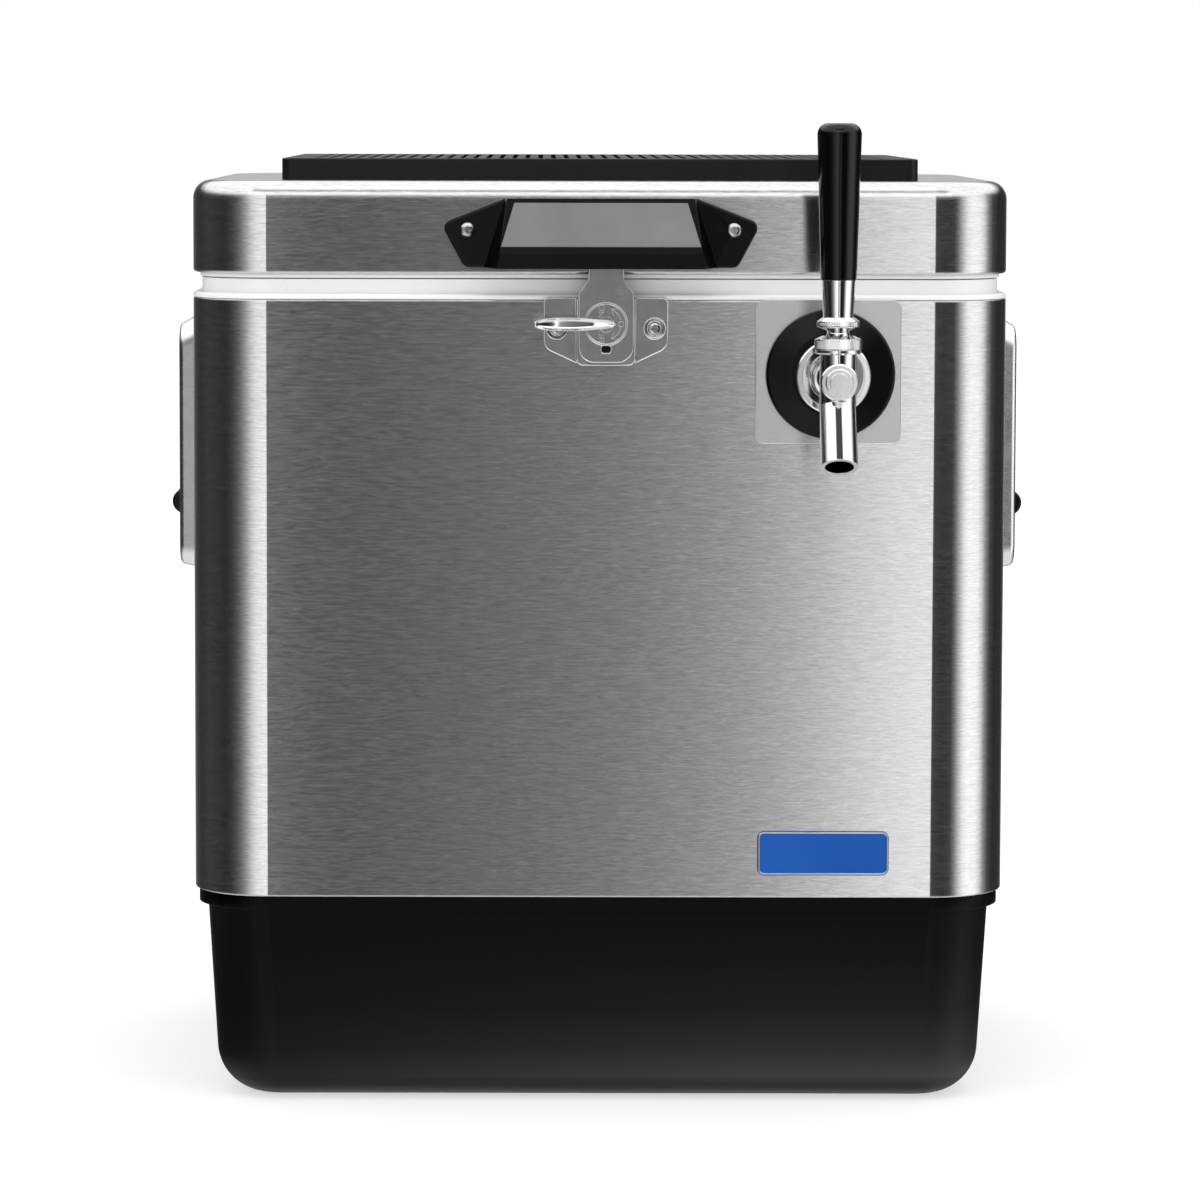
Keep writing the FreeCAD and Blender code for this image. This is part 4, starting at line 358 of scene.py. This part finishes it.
MATERIALS = {
    "tub_black": tub_plastic(),
    "grip_black": moulded_plastic("part_black", (0.0012, 0.0012, 0.0014), 0.26, 3200.0, 0.00002, 0.18),
    "tray_black": moulded_plastic("tray_black", (0.0040, 0.0040, 0.0045), 0.40, 3000.0, 0.00003, 0.25),
    "wrap_steel": brushed_steel("wrap_steel", (0.60, 0.60, 0.605), 0.155, 1.0, 1.0, 0.22),
    "plate_steel": brushed_steel("plate_steel", (0.66, 0.66, 0.665), 0.24, 0.8, 2.0, 0.05, 0.0004),
    "pressed_steel": polished_steel("pressed_steel", (0.36, 0.36, 0.365), 0.22),
    "bright_steel": polished_steel("bright_steel", (0.80, 0.80, 0.81), 0.05, 0.05, 0.0006),
    "fitting_steel": polished_steel("fitting_steel", (0.66, 0.66, 0.67), 0.22),
    "coil_steel": polished_steel("coil_steel", (0.66, 0.66, 0.67), 0.16),
    # painted reflection: screw steel kept darker for the dark surroundings the screws reflect
    "screw_steel": polished_steel("screw_steel", (0.50, 0.50, 0.51), 0.10, 0.1),
    "liner_white": moulded_plastic("liner_white", (0.82, 0.82, 0.825), 0.3, 900.0, 0.00002, 0.5, 0.02),
    "foam": moulded_plastic("foam", (0.80, 0.70, 0.42), 0.85, 700.0, 0.0002, 0.2),
    "seal_rubber": moulded_plastic("seal_rubber", (0.62, 0.62, 0.62), 0.6, 1500.0, 0.00003, 0.3),
    "handle_black": moulded_plastic("handle_black", (0.002, 0.002, 0.002), 0.08, 300.0, 0.000003, 0.3),
    "badge_blue": moulded_plastic("badge_blue", (0.0, 0.075, 0.36), 0.30, 800.0, 0.00001, 0.3),
}
slot_of = {part["node"]: part["material_slot"] for part in frame["record"]["subparts"]}
for name, obj in nodes.items():
    obj.data.materials.clear()
    obj.data.materials.append(MATERIALS[slot_of[name]])

pan_steel = polished_steel("pan_steel", (0.74, 0.74, 0.745), 0.26)
for name in ("handle_pan_left", "handle_pan_right"):
    nodes[name].data.materials[0] = pan_steel


# Detail pieces

def piece(name, vertices, faces, material, body, crisp=40.0):
    """A mesh piece that rides on a body, smooth apart from edges sharper than crisp degrees."""
    mesh = bpy.data.meshes.new(name)
    mesh.from_pydata([tuple(v) for v in vertices], [], faces)
    bm = bmesh.new()
    bm.from_mesh(mesh)
    bmesh.ops.recalc_face_normals(bm, faces=bm.faces)
    bm.to_mesh(mesh)
    bm.free()
    mesh.polygons.foreach_set("use_smooth", [True] * len(mesh.polygons))
    mesh.set_sharp_from_angle(angle=math.radians(crisp))
    mesh.materials.append(material)
    obj = bpy.data.objects.new(name, mesh)
    scene.collection.objects.link(obj)
    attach(obj, body)
    return obj


def skin(rings):
    """Faces between rings of equal length; the first and last ring are capped."""
    count = len(rings[0])
    vertices = [point for ring in rings for point in ring]
    faces = []
    for i in range(len(rings) - 1):
        for j in range(count):
            k = (j + 1) % count
            faces.append((i * count + j, i * count + k, (i + 1) * count + k, (i + 1) * count + j))
    faces.append(tuple(range(count)))
    faces.append(tuple(range((len(rings) - 1) * count, len(rings) * count)))
    return vertices, faces


KNURL_DEPTH_SHARE = 0.16
WALL_INTO_PART = 0.0008
KNURLED_STEEL = polished_steel("knurled_steel", (0.72, 0.72, 0.73), 0.12, 0.05, 0.0)


def knurl_band(name, node, radius, low, high, count, body):
    """A ring of small pyramids, as a knurling wheel presses them, round an upright turned part."""
    corner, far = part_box(node)
    cx, cy = (corner[0] + far[0]) / 2, (corner[1] + far[1]) / 2
    depth = KNURL_DEPTH_SHARE * 2 * math.pi * radius / count
    columns = 2 * count
    rows = max(2, round((high - low) / (math.pi * radius / count)))
    vertices, faces = [], []
    for i in range(rows + 1):
        z = low + (high - low) * i / rows
        for j in range(columns):
            turn = 2 * math.pi * j / columns
            peak = (i + j) % 2 == 0 and 0 < i < rows
            r = radius + depth if peak else radius
            vertices.append((cx + r * math.cos(turn), cy + r * math.sin(turn), z))
    for i in range(rows):
        for j in range(columns):
            k = (j + 1) % columns
            a, b, c, d = i * columns + j, i * columns + k, (i + 1) * columns + k, (i + 1) * columns + j
            faces += [(a, b, d), (b, c, d)] if (i + j) % 2 else [(a, b, c), (a, c, d)]
    inner = len(vertices)
    for z in (low, high):
        for j in range(columns):
            turn = 2 * math.pi * j / columns
            r = radius - WALL_INTO_PART
            vertices.append((cx + r * math.cos(turn), cy + r * math.sin(turn), z))
    for j in range(columns):
        k = (j + 1) % columns
        faces.append((j, k, inner + k, inner + j))
        top = rows * columns
        faces.append((top + j, inner + columns + j, inner + columns + k, top + k))
        faces.append((inner + j, inner + k, inner + columns + k, inner + columns + j))
    return piece(name, vertices, faces, KNURLED_STEEL, body, 5.0)


bonnet_low, bonnet_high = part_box("faucet_bonnet")
bonnet_radius = (bonnet_high[0] - bonnet_low[0]) / 2
knurl_band("bonnet_knurl", "faucet_bonnet", bonnet_radius,
           bonnet_low[2] + 0.0021, bonnet_low[2] + 0.0082, 46, "cooler")
collar_low, collar_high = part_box("lever_collar")
collar_radius = (collar_high[0] - collar_low[0]) / 2
knurl_band("collar_knurl", "lever_collar", collar_radius,
           collar_low[2] + 0.0022, collar_low[2] + 0.0054, 48, "tap")


# Rounded edges on crisp CAD parts

def round_edges(name, width, segments):
    """Rounds a node's crisp edges with a modifier; its own mesh stays as it is."""
    node = nodes[name]
    weld = node.modifiers.new("weld", "WELD")
    weld.merge_threshold = 0.00001
    flat = node.modifiers.new("flat", "DECIMATE")
    flat.decimate_type = "DISSOLVE"
    flat.angle_limit = math.radians(0.5)
    bevel = node.modifiers.new("round", "BEVEL")
    bevel.width = width
    bevel.segments = segments
    bevel.limit_method = "ANGLE"
    bevel.angle_limit = math.radians(25.0)
    bevel.harden_normals = True


SHEEN_PANEL_FOOT = 0.02
SHEEN_PANEL_TOP = 0.09
SHEEN_PANEL_FOOT_DRAWN_IN = 0.0002
SHEEN_PANEL_TOP_DRAWN_IN = 0.0040
SHEEN_PANEL_PROUD = 0.0004
SHEEN_PANEL_DEEP = 0.0008
SHEEN_PANEL_ROUND_SHARE = 0.9
SAME_HEIGHT = 0.0005


def make_grip_sheen_panel():
    """The grip's slanted face: a smooth grey panel in the black moulding, its grey a painted sheen for the light
    from above on the up-facing face.
    """
    mesh = nodes["lid_grip"].data
    slanted = [f for f in mesh.polygons if 0.3 < f.normal.z < 0.7 and f.normal.y < 0]
    normal = max(slanted, key=lambda f: f.area).normal.copy()
    corners = [mesh.vertices[i].co.copy() for f in mesh.polygons
               if (f.normal - normal).length < 0.01 for i in f.vertices]
    top, foot = max(c.z for c in corners), min(c.z for c in corners)
    uppers = [c for c in corners if c.z > top - SAME_HEIGHT]
    lowers = [c for c in corners if c.z < foot + SAME_HEIGHT]
    start = Vector((0, lowers[0].y, lowers[0].z))
    across = Vector((0, uppers[0].y, uppers[0].z)) - start
    foot_place, top_place = start + across * SHEEN_PANEL_FOOT, start + across * (1 - SHEEN_PANEL_TOP)
    foot_half = Vector((max(c.x for c in lowers) - SHEEN_PANEL_FOOT_DRAWN_IN, 0, 0))
    top_half = Vector((max(c.x for c in uppers) - SHEEN_PANEL_TOP_DRAWN_IN, 0, 0))
    ring = [foot_place - foot_half, foot_place + foot_half, top_place + top_half, top_place - top_half]
    back, front = -normal * SHEEN_PANEL_DEEP, normal * SHEEN_PANEL_PROUD
    vertices, faces = skin([[corner + back for corner in ring], [corner + front for corner in ring]])
    # painted sheen: the grey colour stands in for light reflected from above on the slanted face
    grey = moulded_plastic("grip_painted_sheen_grey", (0.165, 0.165, 0.168), 0.36, 2600.0, 0.00002, 0.3)
    panel = piece("painted_sheen_grip_panel", vertices, faces, grey, "lid", 30.0)
    bevel = panel.modifiers.new("round", "BEVEL")
    bevel.width = SHEEN_PANEL_PROUD * SHEEN_PANEL_ROUND_SHARE
    bevel.segments = 3
    bevel.limit_method = "ANGLE"


make_grip_sheen_panel()
for name, width, segments in (
    ("lid_grip", 0.0022, 4), ("hasp_strap", 0.0004, 2), ("catch_plate", 0.0005, 2), ("base_tub", 0.0007, 2),
):
    round_edges(name, width, segments)


# Latch details

dial = next(Vector(joint["pos_m"]) for joint in frame["joints"] if joint["name"] == "latch_turn")
# painted highlight: steel brighter than the parts it rims, for the light caught on edges and raised marks
PAINTED_HIGHLIGHT_STEEL = polished_steel("painted_highlight_steel", (0.86, 0.86, 0.87), 0.10, 0.05, 0.0)


def bead(name, points, radius, material, body, closed=False, resolution=3):
    """A thin raised line through points."""
    curve = bpy.data.curves.new(name, "CURVE")
    curve.dimensions = "3D"
    curve.bevel_depth = radius
    curve.bevel_resolution = resolution
    curve.use_fill_caps = True
    line = curve.splines.new("POLY")
    line.points.add(len(points) - 1)
    for knot, point in zip(line.points, points):
        knot.co = (*point, 1.0)
    line.use_cyclic_u = closed
    line.use_smooth = True
    curve.materials.append(material)
    obj = bpy.data.objects.new(name, curve)
    scene.collection.objects.link(obj)
    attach(obj, body)
    return obj


def rim(node, radius, body):
    """A bead along the outline of every face of a node that looks to the front: a rounded edge, in steel brighter
    than the part as a painted highlight.
    """
    bm = bmesh.new()
    bm.from_mesh(nodes[node].data)
    bmesh.ops.remove_doubles(bm, verts=bm.verts, dist=0.00001)
    front = {f for f in bm.faces if f.normal.y < -0.995}
    links = {}
    for edge in bm.edges:
        if sum(f in front for f in edge.link_faces) == 1:
            a, b = edge.verts
            links.setdefault(a, []).append(b)
            links.setdefault(b, []).append(a)
    count = 0
    while links:
        here = next(iter(links))
        loop = [here]
        while links.get(here):
            ahead = links[here].pop()
            links[ahead].remove(here)
            loop.append(ahead)
            here = ahead
        links = {v: ends for v, ends in links.items() if ends}
        points = [tuple(v.co) for v in loop[:-1]]
        if len(points) > 2:
            bead("%s_rim_%d" % (node, count), points, radius, PAINTED_HIGHLIGHT_STEEL, body, True, 2)
            count += 1
    bm.free()


def circle(cx, cz, radius, y, count):
    """Points of a circle on an upright plane."""
    turns = [2 * math.pi * i / count for i in range(count)]
    return [(cx + radius * math.cos(t), y, cz + radius * math.sin(t)) for t in turns]


def arc(cx, cz, radius, start, end, y, steps=12):
    """Points of an arc on an upright plane; angles in degrees from +X towards +Z."""
    turns = [math.radians(start + (end - start) * i / steps) for i in range(steps + 1)]
    return [(cx + radius * math.cos(t), y, cz + radius * math.sin(t)) for t in turns]


# Each section of the leaf: its share of the outline and how far it lies behind the front.
LEVER_SECTIONS = [
    (0.02, 0.0015), (0.35, 0.0015), (0.62, 0.0012), (0.80, 0.0006), (0.88, 0.0001), (0.94, 0.0000),
    (0.985, 0.0004), (1.0, 0.0011), (1.0, 0.0022), (0.97, 0.0030), (0.88, 0.0034), (0.02, 0.0034),
]
LEVER_POINTS = 64
LEVER_HOLLOW_SHARE = 0.5
LEVER_DRAW_IN = 0.06
LEVER_PLUMPNESS = 0.85
LEVER_TAPER = 0.22
LEVER_HALF_HEIGHT = 0.0038
LEVER_HUB = 0.0046
LEVER_HUB_START = 0.0030
LEVER_HUB_DEPTH = 0.0046
LEVER_SHAFT = 0.0030
LEVER_SHAFT_POINTS = 32


def make_thumb_lever():
    """A long leaf with a bright rim round a hollow face, on its hub and shaft."""
    low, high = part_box("latch_lever")
    middle, half = (low[0] + high[0]) / 2, (high[0] - low[0]) / 2
    front, back = low[1], high[1]
    rings = []
    for share, depth in LEVER_SECTIONS:
        reach = share
        if share > LEVER_HOLLOW_SHARE:
            reach = (1 - LEVER_DRAW_IN * (1 - share)) * share ** 0.5
        ring = []
        for i in range(LEVER_POINTS):
            turn = 2 * math.pi * i / LEVER_POINTS
            x, z = math.cos(turn), math.sin(turn)
            plump = abs(z) ** LEVER_PLUMPNESS * (1.0 - LEVER_TAPER * x)
            up = math.copysign(LEVER_HALF_HEIGHT * plump * share, z)
            ring.append((middle + half * x * reach, front + depth, dial.z + up))
        rings.append(ring)
    vertices, faces = skin(rings)
    start = len(vertices)
    shoulder = front + LEVER_HUB_DEPTH
    turned = [
        (LEVER_HUB, front + LEVER_HUB_START), (LEVER_HUB, shoulder),
        (LEVER_SHAFT, shoulder), (LEVER_SHAFT, back),
    ]
    more, shell = skin([circle(dial.x, dial.z, radius, y, LEVER_SHAFT_POINTS) for radius, y in turned])
    vertices += more
    faces += [tuple(v + start for v in face) for face in shell]
    leaf = piece("thumb_lever_leaf", vertices, faces, MATERIALS["bright_steel"],
                 "thumb_lever", 50.0)
    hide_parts("latch_lever")


make_thumb_lever()


SLOT_RISE = 0.00755
SLOT_HALF_WIDTH = 0.0030
SLOT_HALF_HEIGHT = 0.0024
SLOT_FRONT = 0.0011
SLOT_BACK = 0.0016
SLOT_POINTS = 24


def make_strap_slot():
    """A dark plug in the slot in the strap's foot: painted shadow for its shaded inside."""
    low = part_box("hasp_strap")[0]
    middle = low[2] + SLOT_RISE
    rings = []
    for depth in (SLOT_FRONT, SLOT_BACK):
        unit = circle(0, 0, 1.0, low[1] + depth, SLOT_POINTS)
        rings.append([(dial.x + SLOT_HALF_WIDTH * x, y, middle + SLOT_HALF_HEIGHT * z) for x, y, z in unit])
    vertices, faces = skin(rings)
    piece("strap_slot_shadow", vertices, faces, MATERIALS["grip_black"], "hasp", 40.0)


make_strap_slot()


DIAL_RISE = 0.0007
MARK_RADIUS = 0.00018
MARK_SIZE = 0.0048
MARK_RISE = 0.0072
MARK_BESIDE = 0.0028
ARROW_REACH = 0.0085
ARROW_START = 14.0
ARROW_END = 62.0
ARROW_HEAD_AHEAD = 8.0
ARROW_SPREAD = 38.0
ARROW_HEAD = 0.0036
STOP_PIN = 0.0015


def strap_bead(name, points, closed=False):
    return bead(name, points, MARK_RADIUS, PAINTED_HIGHLIGHT_STEEL, "hasp", closed)


def make_strap_marks():
    """ON and OFF, the turning arrows and the small stop pin, raised from the hasp's face in brighter steel as a
    painted highlight.
    """
    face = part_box("hasp_strap")[0][1] + DIAL_RISE
    for name, way in (("on", 1), ("off", -1)):
        end = way * ARROW_END
        strap_bead("arrow_arc_" + name, arc(dial.x, dial.z, ARROW_REACH, way * ARROW_START, end, face))
        tip = Vector(arc(dial.x, dial.z, ARROW_REACH, 0, end + way * ARROW_HEAD_AHEAD, face, 1)[1])
        for spread, side in ((ARROW_SPREAD, "a"), (-ARROW_SPREAD, "b")):
            turn = math.radians(end + 90 * way + 180 + spread * way)
            far = tip + Vector((math.cos(turn), 0, math.sin(turn))) * ARROW_HEAD
            strap_bead("arrow_head_%s_%s" % (name, side), [tip, far])
    strap_bead("stop_pin_ring", arc(dial.x + ARROW_REACH, dial.z, STOP_PIN, 0, 345, face, 20), True)
    for word, up in (("ON", MARK_RISE), ("OFF", -MARK_RISE)):
        text = bpy.data.curves.new("mark_" + word, "FONT")
        text.body = word
        text.size = MARK_SIZE
        text.extrude = 0.00012
        text.bevel_depth = 0.00006
        text.align_x = "CENTER"
        text.align_y = "CENTER"
        text.materials.append(PAINTED_HIGHLIGHT_STEEL)
        mark = bpy.data.objects.new("mark_" + word.lower(), text)
        mark.location = (dial.x - MARK_BESIDE, face - 0.0001, dial.z + up)
        mark.rotation_euler = (math.radians(90), math.radians(90), 0)
        scene.collection.objects.link(mark)
        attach(mark, "hasp")


make_strap_marks()
rim("catch_plate", 0.00045, "cooler")
rim("hasp_strap", 0.00030, "hasp")
rim("faucet_plate", 0.00020, "cooler")


# Badge

BADGE_RIM = 0.0009
BADGE_CORNER = 0.0030


def make_badge_rim():
    """A thin light rim round the plain badge."""
    low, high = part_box("badge_plate")
    inset = BADGE_RIM + BADGE_CORNER
    left, right, foot, top = low[0] + inset, high[0] - inset, low[2] + inset, high[2] - inset
    points = []
    for cx, cz, start in ((right, top, 0), (left, top, 90), (left, foot, 180), (right, foot, 270)):
        points += arc(cx, cz, BADGE_CORNER, start, start + 90, low[1], 8)
    bead("badge_rim", points, BADGE_RIM * 0.6, MATERIALS["screw_steel"], "cooler", True)


make_badge_rim()
